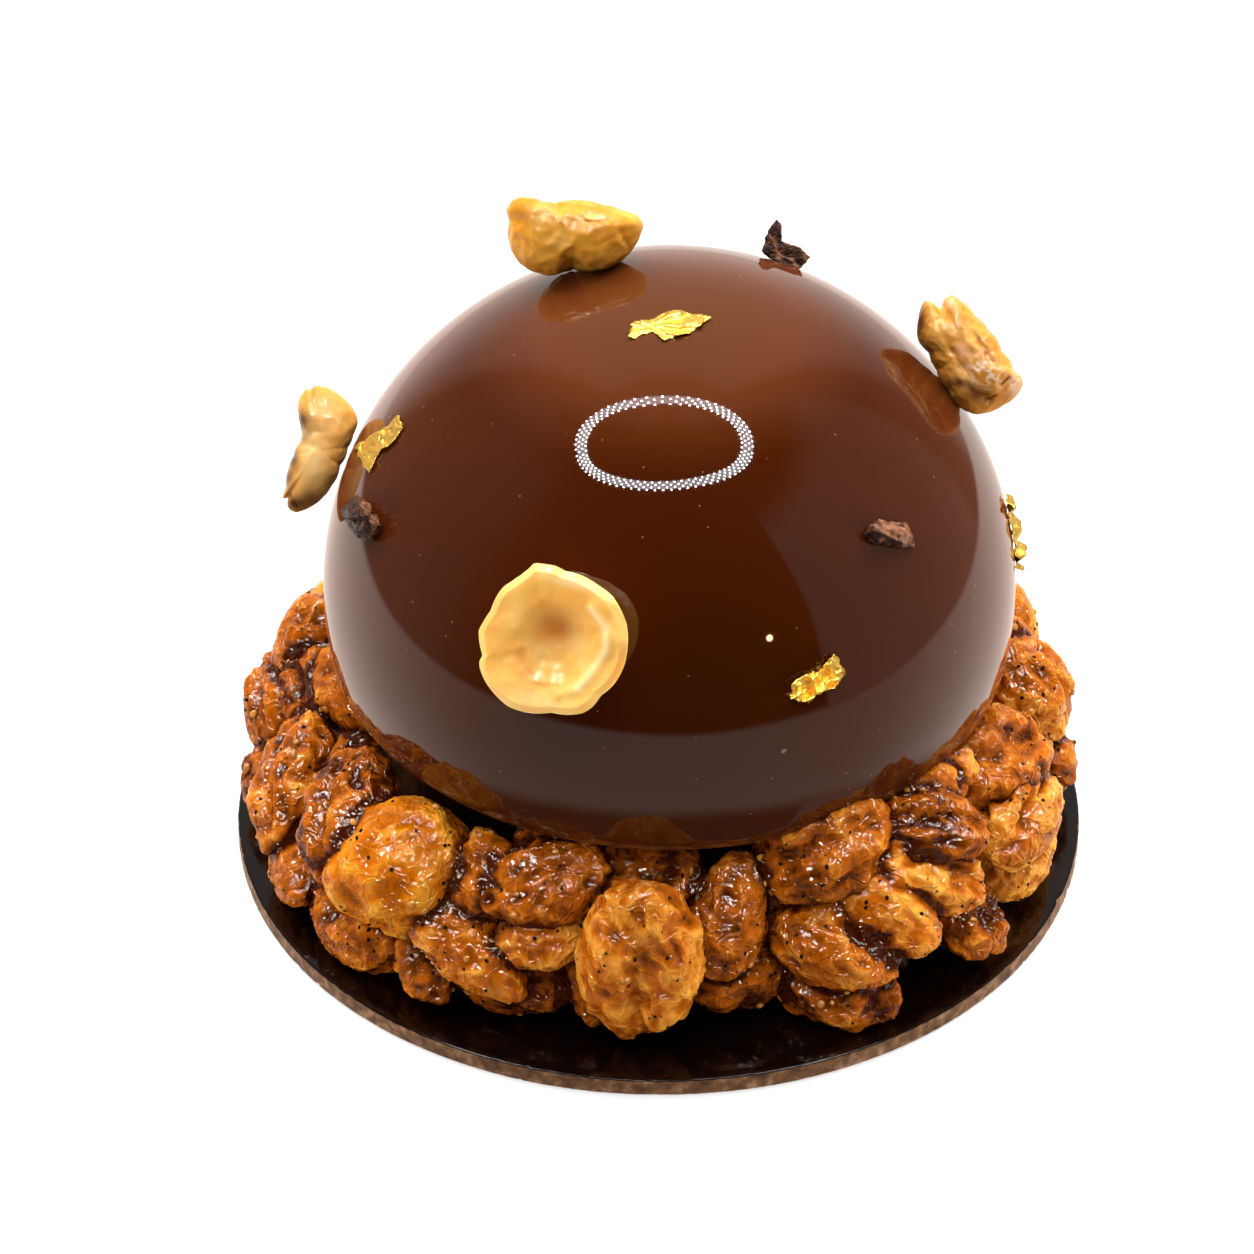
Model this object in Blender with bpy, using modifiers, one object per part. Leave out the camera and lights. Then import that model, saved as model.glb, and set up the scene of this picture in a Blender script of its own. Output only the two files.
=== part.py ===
"""A chocolate dome dessert: a thin chocolate disc, a heaped ring of caramelised nuts on it, a glazed
dome that rests on the heap, and four roasted nuts, cocoa nibs and gold leaf on the glaze.

The origin is the centre of the disc's underside, +Z is up and the front looks along -Y.
An azimuth is 0 at the front and grows to the right. A latitude is 0 at the dome's widest line
and 90 degrees at its top.
"""

import math
import random

import bmesh
import bpy
from mathutils import Matrix, Vector, noise

MM = 0.001
GAP = 0.3 * MM  # clearance between neighbouring pieces

# Chocolate disc
DISC_RADIUS = 44.0 * MM
DISC_THICKNESS = 2.0 * MM
DISC_EDGE_ROUND = 0.25 * MM

# Dome: slightly flattened above its widest line, cut off below it with a rounded foot
DOME_AXIS_X = 1.0 * MM
DOME_RADIUS = 35.2 * MM
DOME_RISE = 34.0 * MM
DOME_WAIST_Z = 30.8 * MM
DOME_FOOT_Z = 22.0 * MM
DOME_FOOT_ROUND = 3.2 * MM
DOME_STEPS = 56
DOME_RINGS = 14

# Heaped nuts under the dome, whose foot lies wider to the left and right than to the front
HEAP_FOOT_RADIUS = 31.5 * MM
HEAP_TOP_RADIUS = 27.5 * MM
HEAP_TOP_Z = DOME_FOOT_Z - GAP
HEAP_WIDENING = 0.3
HEAP_STEPS = 24
HEAP_EDGE = 3.0 * MM  # slope round the top of the core
HEAP_BELLY_Z = 9.0 * MM
HEAP_BELLY_INSET = 1.5 * MM
FLAT_BELOW_Z = DISC_THICKNESS + GAP
UNDER_HEAP_WIDTH = 120.0 * MM
UNDER_HEAP_DEPTH = 20.0 * MM

# A nut of the heap: kind, azimuth, radius, height of its middle, turn from the tangent towards
# the outside, lean of its long axis, length, width. Angles are in degrees, sizes in millimetres.
FRONT_NUTS = (
    ("almond", -104, 38.0, 16.2, 29, -47, 11.0, 7.0),
    ("pecan", -100, 40.0, 10.5, -3, -23, 12.0, 7.5),
    ("pecan", -94, 35.5, 14.5, -13, -16, 12.0, 7.0),
    ("chunk", -88, 39.0, 6.0, -33, 0, 9.0, 7.5),
    ("pecan", -78, 38.5, 11.5, 27, -26, 16.0, 7.0),
    ("chunk", -75, 32.0, 12.5, 24, -29, 9.0, 7.0),
    ("almond", -68, 39.5, 6.0, 22, 0, 12.0, 7.0),
    ("pecan", -56, 37.7, 17.3, 49, -25, 15.0, 8.5),
    ("chunk", -52, 38.5, 6.0, 7, 0, 14.0, 8.0),
    ("hazelnut", -43, 37.2, 15.8, -54, 10, 14.0, 13.5),
    ("chunk", -37, 38.0, 6.5, 34, -8, 9.0, 7.0),
    ("chunk", -30, 35.0, 17.0, -79, 46, 9.0, 7.0),
    ("almond", -29, 39.0, 11.0, 4, -27, 15.0, 7.0),
    ("almond", -24, 36.0, 6.0, -1, 0, 13.0, 7.0),
    ("pecan", -19, 35.2, 18.5, -27, 15, 12.5, 7.3),
    ("chunk", -19, 30.0, 20.0, -19, 0, 9.0, 6.5),
    ("almond", -18, 36.5, 13.0, -33, -3, 10.0, 6.5),
    ("almond", -11, 35.0, 7.0, 78, -40, 9.0, 6.0),
    ("pecan", -3, 30.5, 17.5, 8, 0, 13.0, 7.5),
    ("pecan", -3, 38.4, 13.0, 85, -94, 19.5, 10.4),
    ("almond", 11, 34.5, 15.0, -54, 61, 13.0, 8.0),
    ("almond", 15, 34.0, 7.0, -7, 3, 12.0, 7.0),
    ("pecan", 27, 37.5, 12.0, 52, -17, 14.5, 9.0),
    ("chunk", 28, 38.0, 5.8, 44, -3, 12.0, 8.0),
    ("pecan", 28, 34.0, 20.5, 16, 24, 14.5, 9.0),
    ("almond", 35, 38.6, 14.4, 65, -30, 13.5, 9.0),
    ("pecan", 41, 38.6, 17.0, 39, -23, 15.0, 7.0),
    ("pecan", 45, 38.0, 20.5, 47, -11, 12.0, 6.5),
    ("chunk", 52, 39.0, 6.5, -83, 9, 9.0, 7.0),
    ("chunk", 49, 34.5, 21.5, 41, 10, 8.0, 6.5),
    ("chunk", 56, 35.0, 22.0, 33, 0, 5.0, 4.5),
    ("pecan", 67, 39.5, 13.0, 1, 4, 14.0, 7.5),
    ("pecan", 71, 38.0, 6.6, -2, 2, 15.0, 8.0),
    ("pecan", 70, 36.0, 17.5, 22, -8, 14.5, 9.0),
    ("chunk", 92, 40.0, 7.0, -12, 0, 9.0, 7.0),
    ("pecan", 96, 38.0, 14.5, -39, 32, 12.5, 9.5),
    ("almond", 105, 37.6, 15.8, 90, -45, 9.0, 6.5),
)

# The heap goes on behind the dome in three courses: radius, height, azimuth step, first azimuth
BACK_COURSES = ((36.8, 6.2, 18.0, 106), (35.0, 12.6, 18.0, 116), (31.5, 18.6, 21.0, 126))
BACK_END = 248
BACK_SPREAD = 3.0  # how much further out the courses lie at the left and right than at the back
BACK_SEED = 7

# Nuts tucked in under the dome's edge in front: azimuth, radius, height
TUCKED_NUTS = ((-88, 31.5, 17.5), (82, 31.5, 17.5))

# Width to thickness of each kind, and how many sides and rings its solid takes
THICKNESS = {"pecan": 0.86, "almond": 0.85, "hazelnut": 0.95, "chunk": 0.85}
SIDES = {"pecan": (12, 5), "almond": (7, 5), "hazelnut": (12, 7), "chunk": (6, 4)}
ROUGHNESS = {"pecan": 0.10, "almond": 0.06, "hazelnut": 0.04, "chunk": 0.20}
PECAN_GROOVE = 0.38  # depth of the groove as a share of half the thickness
PECAN_GROOVE_WIDTH = 0.3
PECAN_BACK_GROOVE = 0.4  # the round side's groove as a share of the flat side's
ALMOND_TAPER = 0.22
CHUNK_BOXY = 0.75
GRAIN = 1.6  # lumps over half a nut
GRAIN_SEED = 5

# Roasted nuts on the glaze: azimuth, latitude, height of the middle over the glaze, spin of the
# long axis from the tangent towards the top
GOLDEN_NUT = (-137, 69.0, 3.8 * MM, -42)
GOLDEN_SIZE = Vector((8.6, 8.4, 13.8)) * MM
GOLDEN_CLEFT = 0.2  # between the two lobes underneath, as a share of half the height
GOLDEN_DENT = 0.2
BROKEN_NUT = (102.5, 38.0, 3.6 * MM, 52)
BROKEN_SIZE = Vector((7.6, 8.0, 12.8)) * MM
BROKEN_NOTCH = 0.3
CURVED_NUT = (-99.0, 18.5, 2.3 * MM, -54)
CURVED_SIZE = Vector((7.4, 5.8, 13.0)) * MM
CURVED_BEND = 1.7 * MM
CURVED_TAPER = 0.24
ROASTED_LUMPS = 0.12
HAZELNUT_HALF = (-18.9, 27.0, 0.3 * MM, 0)
HALF_RADIUS = 7.4 * MM
HALF_DEPTH = 5.2 * MM
HALF_LIP = 0.5 * MM
HALF_HOLLOW_RADIUS = 3.4 * MM
HALF_HOLLOW_DEPTH = 1.9 * MM
HALF_WARP = 0.3 * MM
HALF_STEPS = 28

# Cocoa nibs: azimuth, latitude, spin, length, width, height
NIBS = (
    (142, 58.5, 20, 5.2, 3.2, 4.6),
    (-71, 26.5, 55, 5.0, 4.4, 3.0),
    (46.5, 36.2, 5, 5.6, 3.4, 2.6),
)
NIB_SINK = 0.4  # share of a nib's half height that is under the glaze

# Gold leaf: azimuth, latitude, spin, length, width, how far its ends stand up
GOLD_LEAVES = (
    (-1.5, 84.0, 8, 8.8, 4.6, 0.7),
    (-82, 35.5, 40, 7.0, 4.6, 0.8),
    (25.0, 19.0, 30, 6.2, 4.0, 0.9),
    (91.5, 9.0, 88, 9.2, 4.0, 1.3),
)
LEAF_THICKNESS = 0.5 * MM
LEAF_CELLS = (6, 3)


def clear_scene():
    for item in list(bpy.data.objects):
        bpy.data.objects.remove(item, do_unlink=True)
    for item in list(bpy.data.collections):
        bpy.data.collections.remove(item)


def collection(name):
    made = bpy.data.collections.new(name)
    bpy.context.scene.collection.children.link(made)
    return made


def linear(channel):
    return channel / 12.92 if channel <= 0.04045 else ((channel + 0.055) / 1.055) ** 2.4


def finish(name, colour, roughness, metallic=0.0):
    made = bpy.data.materials.new(name)
    made.use_nodes = True
    shader = made.node_tree.nodes["Principled BSDF"]
    channels = [linear(int(colour[i : i + 2], 16) / 255) for i in (0, 2, 4)]
    shader.inputs["Base Color"].default_value = (*channels, 1.0)
    shader.inputs["Roughness"].default_value = roughness
    shader.inputs["Metallic"].default_value = metallic
    made.diffuse_color = (*channels, 1.0)
    return made


def add_object(name, mesh, group, look):
    made = bpy.data.objects.new(name, mesh)
    group.objects.link(made)
    if not mesh.materials:
        mesh.materials.append(look)
    return made


def evaluated_mesh(item):
    """The object's mesh with its modifiers applied, in the object's own coordinates."""
    bpy.context.view_layer.update()
    graph = bpy.context.evaluated_depsgraph_get()
    return bpy.data.meshes.new_from_object(item.evaluated_get(graph))


def turned(name, profile, steps, group, look):
    """A closed body turned round Z. The profile is (radius, height) from the top axis to the foot."""
    mesh = bpy.data.meshes.new(name)
    shape = bmesh.new()
    points = [shape.verts.new((radius, 0.0, height)) for radius, height in profile]
    for first, second in zip(points, points[1:]):
        shape.edges.new((first, second))
    shape.to_mesh(mesh)
    shape.free()
    made = add_object(name, mesh, group, look)
    screw = made.modifiers.new("turn", "SCREW")
    screw.angle = math.tau
    screw.steps = steps
    screw.render_steps = steps
    screw.use_merge_vertices = True
    screw.merge_threshold = 1e-6
    screw.use_smooth_shade = False
    return made


def make_real(item):
    """Applies the modifiers, closes the poles and leaves the object without modifiers."""
    mesh = evaluated_mesh(item)
    shape = bmesh.new()
    shape.from_mesh(mesh)
    bmesh.ops.remove_doubles(shape, verts=shape.verts, dist=1e-7)
    shape.to_mesh(mesh)
    shape.free()
    old = item.data
    item.modifiers.clear()
    item.data = mesh
    bpy.data.meshes.remove(old)
    mesh.name = item.name


def smooth(item, degrees):
    item.data.shade_smooth()
    item.data.set_sharp_from_angle(angle=math.radians(degrees))


def bump(value, centre, width):
    """A smooth hump that is 1 at the centre."""
    return math.exp(-(((value - centre) / width) ** 2))


def boxy(value, power):
    """Pushes a coordinate of the unit ball outwards, the more so the lower the power."""
    return math.copysign(abs(value) ** power, value)


def arc(centre, radii, start, end, count):
    """Points of an elliptical arc, as (radius, height), with both ends."""
    step = math.radians(end - start) / (count - 1)
    angles = [math.radians(start) + step * i for i in range(count)]
    return [(centre[0] + radii[0] * math.cos(a), centre[1] + radii[1] * math.sin(a)) for a in angles]


def dome_profile(grow=0.0):
    """The dome's section from the top down to the middle of its foot, grown by a clearance."""
    foot_angle = math.degrees(math.asin((DOME_FOOT_Z + DOME_FOOT_ROUND - DOME_WAIST_Z) / DOME_RISE))
    radii = (DOME_RADIUS + grow, DOME_RISE + grow)
    shell = arc((0.0, DOME_WAIST_Z), radii, 90, foot_angle, DOME_RINGS)
    shell[0] = (0.0, shell[0][1])
    corner = (shell[-1][0] - DOME_FOOT_ROUND - grow, DOME_FOOT_Z + DOME_FOOT_ROUND)
    reach = DOME_FOOT_ROUND + grow
    foot = arc(corner, (reach, reach), -15, -90, 4)
    return shell + foot + [(0.0, DOME_FOOT_Z - grow)]


def dome_frame(azimuth, latitude, height, spin):
    """Axes at a place on the glaze: Z along the piece, Y away from the dome, X across."""
    a = math.radians(azimuth)
    b = math.radians(latitude)
    out = Vector((math.sin(a) * math.cos(b), -math.cos(a) * math.cos(b), math.sin(b)))
    place = Vector((out.x * DOME_RADIUS, out.y * DOME_RADIUS, out.z * DOME_RISE))
    normal = Vector((out.x / DOME_RADIUS, out.y / DOME_RADIUS, out.z / DOME_RISE)).normalized()
    tangent = Vector((math.cos(a), math.sin(a), 0.0))
    uphill = normal.cross(tangent)
    if uphill.z < 0.0:
        uphill.negate()
    turn = math.radians(spin)
    along = tangent * math.cos(turn) + uphill * math.sin(turn)
    centre = Vector((DOME_AXIS_X, 0.0, DOME_WAIST_Z)) + place + normal * height
    return axes_at(centre, along, normal)


def axes_at(centre, along, out):
    across = out.cross(along).normalized()
    facing = along.cross(across).normalized()
    frame = Matrix((across, facing, along)).transposed().to_4x4()
    frame.translation = centre
    return frame


def ring_frame(azimuth, radius, height, turn, lean):
    """Axes of a nut in the heap: Z along the nut, Y as near as it gets to outwards and up."""
    a = math.radians(azimuth)
    outward = Vector((math.sin(a), -math.cos(a), 0.0))
    tangent = Vector((math.cos(a), math.sin(a), 0.0))
    flat = tangent * math.cos(math.radians(turn)) + outward * math.sin(math.radians(turn))
    lift = math.radians(lean)
    along = flat * math.cos(lift) + Vector((0.0, 0.0, math.sin(lift)))
    centre = outward * radius * MM + Vector((0.0, 0.0, height * MM))
    return axes_at(centre, along, outward + Vector((0.0, 0.0, 1.0)))


def nut_point(kind, v, seed):
    """Where a point of the unit ball goes on a nut of this kind, in half sizes."""
    x, y, z = v
    body = math.sqrt(max(0.0, 1.0 - z * z))
    if kind == "pecan":
        fuller = 1.0 + 0.16 * body
        x *= fuller
        groove = PECAN_GROOVE * bump(x, 0.0, PECAN_GROOVE_WIDTH) * body
        y = y * fuller - (groove if y > 0.0 else -PECAN_BACK_GROOVE * groove)
    elif kind == "almond":
        taper = 1.0 - ALMOND_TAPER * z
        x *= taper
        y *= taper
    elif kind == "chunk":
        x = boxy(x, CHUNK_BOXY)
        y = boxy(y, CHUNK_BOXY)
    uneven = noise.noise_vector(Vector((x, y, z)) * GRAIN + Vector((seed * 3.1, seed * 1.7, 0.0)))
    return Vector((x, y, z)) + uneven * ROUGHNESS[kind]


def nut_mesh(name, kind, length, width, seed):
    sides, rings = SIDES[kind]
    shape = bmesh.new()
    bmesh.ops.create_uvsphere(shape, u_segments=sides, v_segments=rings, radius=1.0)
    half = Vector((width, width * THICKNESS[kind], length)) / 2.0 * MM
    for vertex in shape.verts:
        vertex.co = nut_point(kind, vertex.co, seed) * half
    mesh = bpy.data.meshes.new(name)
    bmesh.ops.triangulate(shape, faces=shape.faces)
    shape.to_mesh(mesh)
    shape.free()
    return mesh


def back_nuts():
    """The nuts behind the dome, which the front rows go on into."""
    draw = random.Random(BACK_SEED)
    kinds = ("pecan", "almond", "chunk", "pecan", "hazelnut", "pecan", "almond")
    nuts = []
    for course, (radius, height, step, azimuth) in enumerate(BACK_COURSES):
        while azimuth < BACK_END:
            kind = kinds[(len(nuts) * 3 + course) % len(kinds)]
            length = 12.5 if kind == "hazelnut" else draw.uniform(11.5, 14.5)
            width = 12.0 if kind == "hazelnut" else draw.uniform(7.0, 8.5)
            turn = draw.uniform(-40, 40)
            lean = draw.uniform(-22, 22) if course else draw.uniform(-4, 4)
            aside = math.sin(math.radians(azimuth)) ** 2
            reach = radius + BACK_SPREAD * aside + draw.uniform(-0.8, 0.8)
            nuts.append((kind, azimuth, reach, height, turn, lean, length, width))
            azimuth += step + draw.uniform(-1.5, 1.5)
    for azimuth, radius, height in TUCKED_NUTS:
        nuts.append(("almond", azimuth, radius, height, draw.uniform(-30, 30), 0, 12.0, 7.0))
    return nuts


def join(item, group):
    """Fuses a whole collection to the object and removes the collection with its objects."""
    change = item.modifiers.new("fused", "BOOLEAN")
    change.operation = "UNION"
    change.operand_type = "COLLECTION"
    change.collection = group
    change.material_mode = "TRANSFER"
    make_real(item)
    for used in list(group.objects):
        bpy.data.objects.remove(used, do_unlink=True)
    bpy.data.collections.remove(group)


def cut_by(item, cutter):
    change = item.modifiers.new("clearance", "BOOLEAN")
    change.operation = "DIFFERENCE"
    change.object = cutter
    make_real(item)


def keep_outside(item):
    """Keeps the largest shell, so loose scraps go and sealed hollows are filled."""
    shape = bmesh.new()
    shape.from_mesh(item.data)
    left = set(shape.verts)
    shells = []
    while left:
        found = {left.pop()}
        edge = list(found)
        while edge:
            vertex = edge.pop()
            for link in vertex.link_edges:
                other = link.other_vert(vertex)
                if other not in found:
                    found.add(other)
                    edge.append(other)
        left -= found
        shells.append(found)
    shells.sort(key=len, reverse=True)
    scraps = [vertex for shell in shells[1:] for vertex in shell]
    bmesh.ops.delete(shape, geom=scraps, context="VERTS")
    shape.to_mesh(item.data)
    shape.free()


def cutter_look(item):
    item.hide_render = True
    item.display_type = "WIRE"


def make_dome_cutter(group, look):
    """The dome grown by the clearance, for whatever rests on it or under it."""
    cutter = turned("around_dome", dome_profile(GAP), DOME_STEPS, group, look)
    make_real(cutter)
    cutter.location.x = DOME_AXIS_X
    cutter_look(cutter)
    return cutter


def make_floor_cutter(group, look):
    """A slab whose top is the level that the heap is flat at, just over the disc."""
    place = Matrix.Translation((0.0, 0.0, FLAT_BELOW_Z - UNDER_HEAP_DEPTH / 2.0))
    size = Matrix.Diagonal((UNDER_HEAP_WIDTH, UNDER_HEAP_WIDTH, UNDER_HEAP_DEPTH, 1.0))
    mesh = bpy.data.meshes.new("under_heap")
    shape = bmesh.new()
    bmesh.ops.create_cube(shape, size=1.0, matrix=place @ size)
    shape.to_mesh(mesh)
    shape.free()
    cutter = add_object("under_heap", mesh, group, look)
    cutter_look(cutter)
    return cutter


def make_disc(group, look):
    """A flat disc whose two rims are barely rounded."""
    mesh = bpy.data.meshes.new("base_disc")
    shape = bmesh.new()
    bmesh.ops.create_cone(
        shape,
        cap_ends=True,
        segments=72,
        radius1=DISC_RADIUS,
        radius2=DISC_RADIUS,
        depth=DISC_THICKNESS,
        matrix=Matrix.Translation((0.0, 0.0, DISC_THICKNESS / 2.0)),
    )
    shape.to_mesh(mesh)
    shape.free()
    disc = add_object("base_disc", mesh, group, look)
    rims = disc.modifiers.new("rims", "BEVEL")
    rims.width = DISC_EDGE_ROUND
    rims.segments = 1
    rims.limit_method = "ANGLE"
    smooth(disc, 40)


def make_dome(group, looks):
    """The glazed dome with the nibs and the gold leaf fused on."""
    dome = turned("dome", dome_profile(), DOME_STEPS, group, looks["glaze"])
    make_real(dome)
    dome.location.x = DOME_AXIS_X
    trimmings = collection("on_the_glaze")
    for index, nib in enumerate(NIBS):
        make_nib(index, nib, trimmings, looks["nib"])
    for index, leaf in enumerate(GOLD_LEAVES):
        make_leaf(index, leaf, trimmings, looks["gold"])
    join(dome, trimmings)
    keep_outside(dome)
    smooth(dome, 30)


def make_nib(index, nib, group, look):
    """An angular splinter of cocoa bean, partly under the glaze."""
    azimuth, latitude, spin, length, width, height = nib
    shape = bmesh.new()
    bmesh.ops.create_uvsphere(shape, u_segments=6, v_segments=5, radius=1.0)
    half = Vector((width, height, length)) / 2.0 * MM
    for vertex in shape.verts:
        vertex.co = nut_point("chunk", vertex.co, index + 20.0) * half
    bmesh.ops.triangulate(shape, faces=shape.faces)
    mesh = bpy.data.meshes.new("nib")
    shape.to_mesh(mesh)
    shape.free()
    lift = half.y * (1.0 - NIB_SINK)
    mesh.transform(dome_frame(azimuth, latitude, lift, spin))
    add_object(f"nib_{index}", mesh, group, look)


def make_leaf(index, leaf, group, look):
    """A crumpled scrap of foil whose middle is stuck down and whose ends stand up."""
    azimuth, latitude, spin, length, width, rise = leaf
    shape = bmesh.new()
    bmesh.ops.create_grid(shape, x_segments=LEAF_CELLS[0], y_segments=LEAF_CELLS[1], size=1.0)
    for vertex in shape.verts:
        x, y, _ = vertex.co
        ragged = noise.noise(Vector((x * 2.0, y * 2.0, index * 5.3)))
        narrowing = 1.0 - 0.45 * x * x + 0.3 * ragged
        fold = 0.35 * math.sin(4.0 * x + index) * math.cos(3.0 * y)
        along = x * length / 2.0
        across = y * narrowing * width / 2.0
        sag = (along * along + across * across) / (2.0 * DOME_RADIUS / MM)
        vertex.co = Vector((across, rise * (0.9 * x * x + fold) - sag, along)) * MM
    bmesh.ops.triangulate(shape, faces=shape.faces)
    mesh = bpy.data.meshes.new("leaf")
    shape.to_mesh(mesh)
    shape.free()
    mesh.transform(dome_frame(azimuth, latitude, 0.0, spin))
    foil = add_object(f"leaf_{index}", mesh, group, look)
    wall = foil.modifiers.new("wall", "SOLIDIFY")
    wall.thickness = LEAF_THICKNESS
    wall.offset = 0.0
    make_real(foil)


def make_heap(group, look, clearance):
    """The heap's core with the nuts that show, cleared from the dome and flat on the disc."""
    profile = [
        (0.0, HEAP_TOP_Z),
        (HEAP_TOP_RADIUS - HEAP_EDGE, HEAP_TOP_Z),
        (HEAP_TOP_RADIUS, HEAP_TOP_Z - HEAP_EDGE),
        (HEAP_FOOT_RADIUS - HEAP_BELLY_INSET, HEAP_BELLY_Z),
        (HEAP_FOOT_RADIUS, FLAT_BELOW_Z - GAP),
        (0.0, FLAT_BELOW_Z - GAP),
    ]
    heap = turned("nut_ring", profile, HEAP_STEPS, group, look)
    make_real(heap)
    for vertex in heap.data.vertices:
        vertex.co.x *= 1.0 + HEAP_WIDENING * (1.0 - vertex.co.z / HEAP_TOP_Z)
    nuts = collection("heap_nuts")
    for index, nut in enumerate(list(FRONT_NUTS) + back_nuts()):
        kind, azimuth, radius, height, turn, lean, length, width = nut
        mesh = nut_mesh(f"nut_{index}", kind, length, width, index)
        mesh.transform(ring_frame(azimuth, radius, height, turn, lean))
        add_object(f"nut_{index}", mesh, nuts, look)
    join(heap, nuts)
    for cutter in clearance:
        cut_by(heap, cutter)
    keep_outside(heap)
    smooth(heap, 50)


def ball(name, sides, rings):
    shape = bmesh.new()
    bmesh.ops.create_uvsphere(shape, u_segments=sides, v_segments=rings, radius=1.0)
    mesh = bpy.data.meshes.new(name)
    shape.to_mesh(mesh)
    shape.free()
    return mesh


def make_golden_nut(group, look, cutter):
    """A nut half lying along the top: two lobes below a cleft, a flat dented face above."""
    mesh = ball("golden_nut", 18, 14)
    for vertex in mesh.vertices:
        x, y, z = vertex.co
        blunt = boxy(z, 0.6 if z > 0.0 else 0.85)
        y = boxy(y, 0.75) * (1.0 + 0.15 * blunt)
        cleft = 1.0 - GOLDEN_CLEFT * bump(z, 0.1, 0.2) * max(0.0, -y)
        dent = GOLDEN_DENT * bump(z, 0.45, 0.22) * max(0.0, y)
        lump = 1.0 + noise.noise(Vector((x, y, z)) * 1.9) * ROASTED_LUMPS
        vertex.co = Vector((x * lump, y * cleft - dent, blunt * lump))
    place_nut("golden_nut", mesh, GOLDEN_SIZE, GOLDEN_NUT, group, look, cutter)


def make_broken_nut(group, look, cutter):
    """A nut with one end broken off blunt and a notch in the other."""
    mesh = ball("broken_nut", 16, 12)
    for vertex in mesh.vertices:
        x, y, z = vertex.co
        notch = BROKEN_NOTCH * bump(x, 0.1, 0.3) * max(0.0, z) ** 4
        lump = 1.0 + noise.noise(Vector((x + 1.7, y, z)) * 2.3) * ROASTED_LUMPS
        vertex.co = Vector((x * lump, y * lump, boxy(z, 0.7) - notch))
    place_nut("broken_nut", mesh, BROKEN_SIZE, BROKEN_NUT, group, look, cutter)


def make_curved_nut(group, look, cutter):
    """A nut bent like a crescent, thicker at its upper end and pointed at its lower one."""
    mesh = ball("curved_nut", 12, 16)
    for vertex in mesh.vertices:
        x, y, z = vertex.co
        taper = 1.0 - CURVED_TAPER * z
        bend = CURVED_BEND / (CURVED_SIZE.y / 2.0) * z * z
        vertex.co = Vector((x * taper, y * taper + bend, z))
    place_nut("curved_nut", mesh, CURVED_SIZE, CURVED_NUT, group, look, cutter)


def place_nut(name, mesh, size, place, group, look, cutter):
    """Brings a ball-sized shape to its size and place and cuts it clear of the dome."""
    for vertex in mesh.vertices:
        vertex.co = Vector(vertex.co) * size / 2.0
    mesh.transform(dome_frame(*place))
    nut = add_object(name, mesh, group, look)
    cut_by(nut, cutter)
    smooth(nut, 50)


def make_hazelnut_half(group, look, cutter):
    """Half a nut, its round side on the glaze and its hollow cut face outwards."""
    rim = HALF_DEPTH - HALF_LIP
    face = [
        (0.0, HALF_DEPTH - HALF_HOLLOW_DEPTH),
        (HALF_HOLLOW_RADIUS * 0.55, HALF_DEPTH - HALF_HOLLOW_DEPTH * 0.9),
        (HALF_HOLLOW_RADIUS, HALF_DEPTH - HALF_HOLLOW_DEPTH * 0.35),
        (HALF_HOLLOW_RADIUS * 1.4, HALF_DEPTH - HALF_LIP * 0.2),
        (HALF_RADIUS * 0.86, HALF_DEPTH),
        (HALF_RADIUS * 0.97, HALF_DEPTH - HALF_LIP * 0.5),
    ]
    side = arc((0.0, rim), (HALF_RADIUS, rim + 2.0 * GAP), 0, -90, 6)
    side[-1] = (0.0, side[-1][1])
    half = turned("hazelnut_half", face + side, HALF_STEPS, group, look)
    make_real(half)
    for vertex in half.data.vertices:
        x, y, z = vertex.co
        angle = math.atan2(y, x)
        wave = 1.0 + 0.03 * math.sin(3.0 * angle + 0.6) + 0.018 * math.sin(7.0 * angle)
        lift = HALF_WARP * math.sin(2.0 * angle + 1.0) * math.hypot(x, y) / HALF_RADIUS
        vertex.co = Vector((x * wave, z + lift, y * wave * 1.03))
    half.data.flip_normals()
    half.data.transform(dome_frame(*HAZELNUT_HALF))
    cut_by(half, cutter)
    smooth(half, 50)


def main():
    clear_scene()
    noise.seed_set(GRAIN_SEED)
    dessert = collection("chocolate_dome_dessert")
    cutters = collection("cutters")
    looks = {
        "disc": finish("dark_chocolate", "120a08", 0.25),
        "glaze": finish("mirror_glaze", "4a2216", 0.06),
        "caramel": finish("caramelised_nut", "a8622a", 0.35),
        "roasted": finish("roasted_nut", "e2b266", 0.5),
        "nib": finish("cocoa_nib", "3a2420", 0.7),
        "gold": finish("gold_leaf", "e8b840", 0.25, 1.0),
    }
    around_dome = make_dome_cutter(cutters, looks["glaze"])
    under_heap = make_floor_cutter(cutters, looks["disc"])
    make_disc(dessert, looks["disc"])
    make_heap(dessert, looks["caramel"], (around_dome, under_heap))
    make_dome(dessert, looks)
    make_golden_nut(dessert, looks["roasted"], around_dome)
    make_broken_nut(dessert, looks["roasted"], around_dome)
    make_curved_nut(dessert, looks["roasted"], around_dome)
    make_hazelnut_half(dessert, looks["roasted"], around_dome)


main()
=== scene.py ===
import math
import random
from functools import partial

import bmesh
import bpy
import numpy as np
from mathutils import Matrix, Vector, noise


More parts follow.
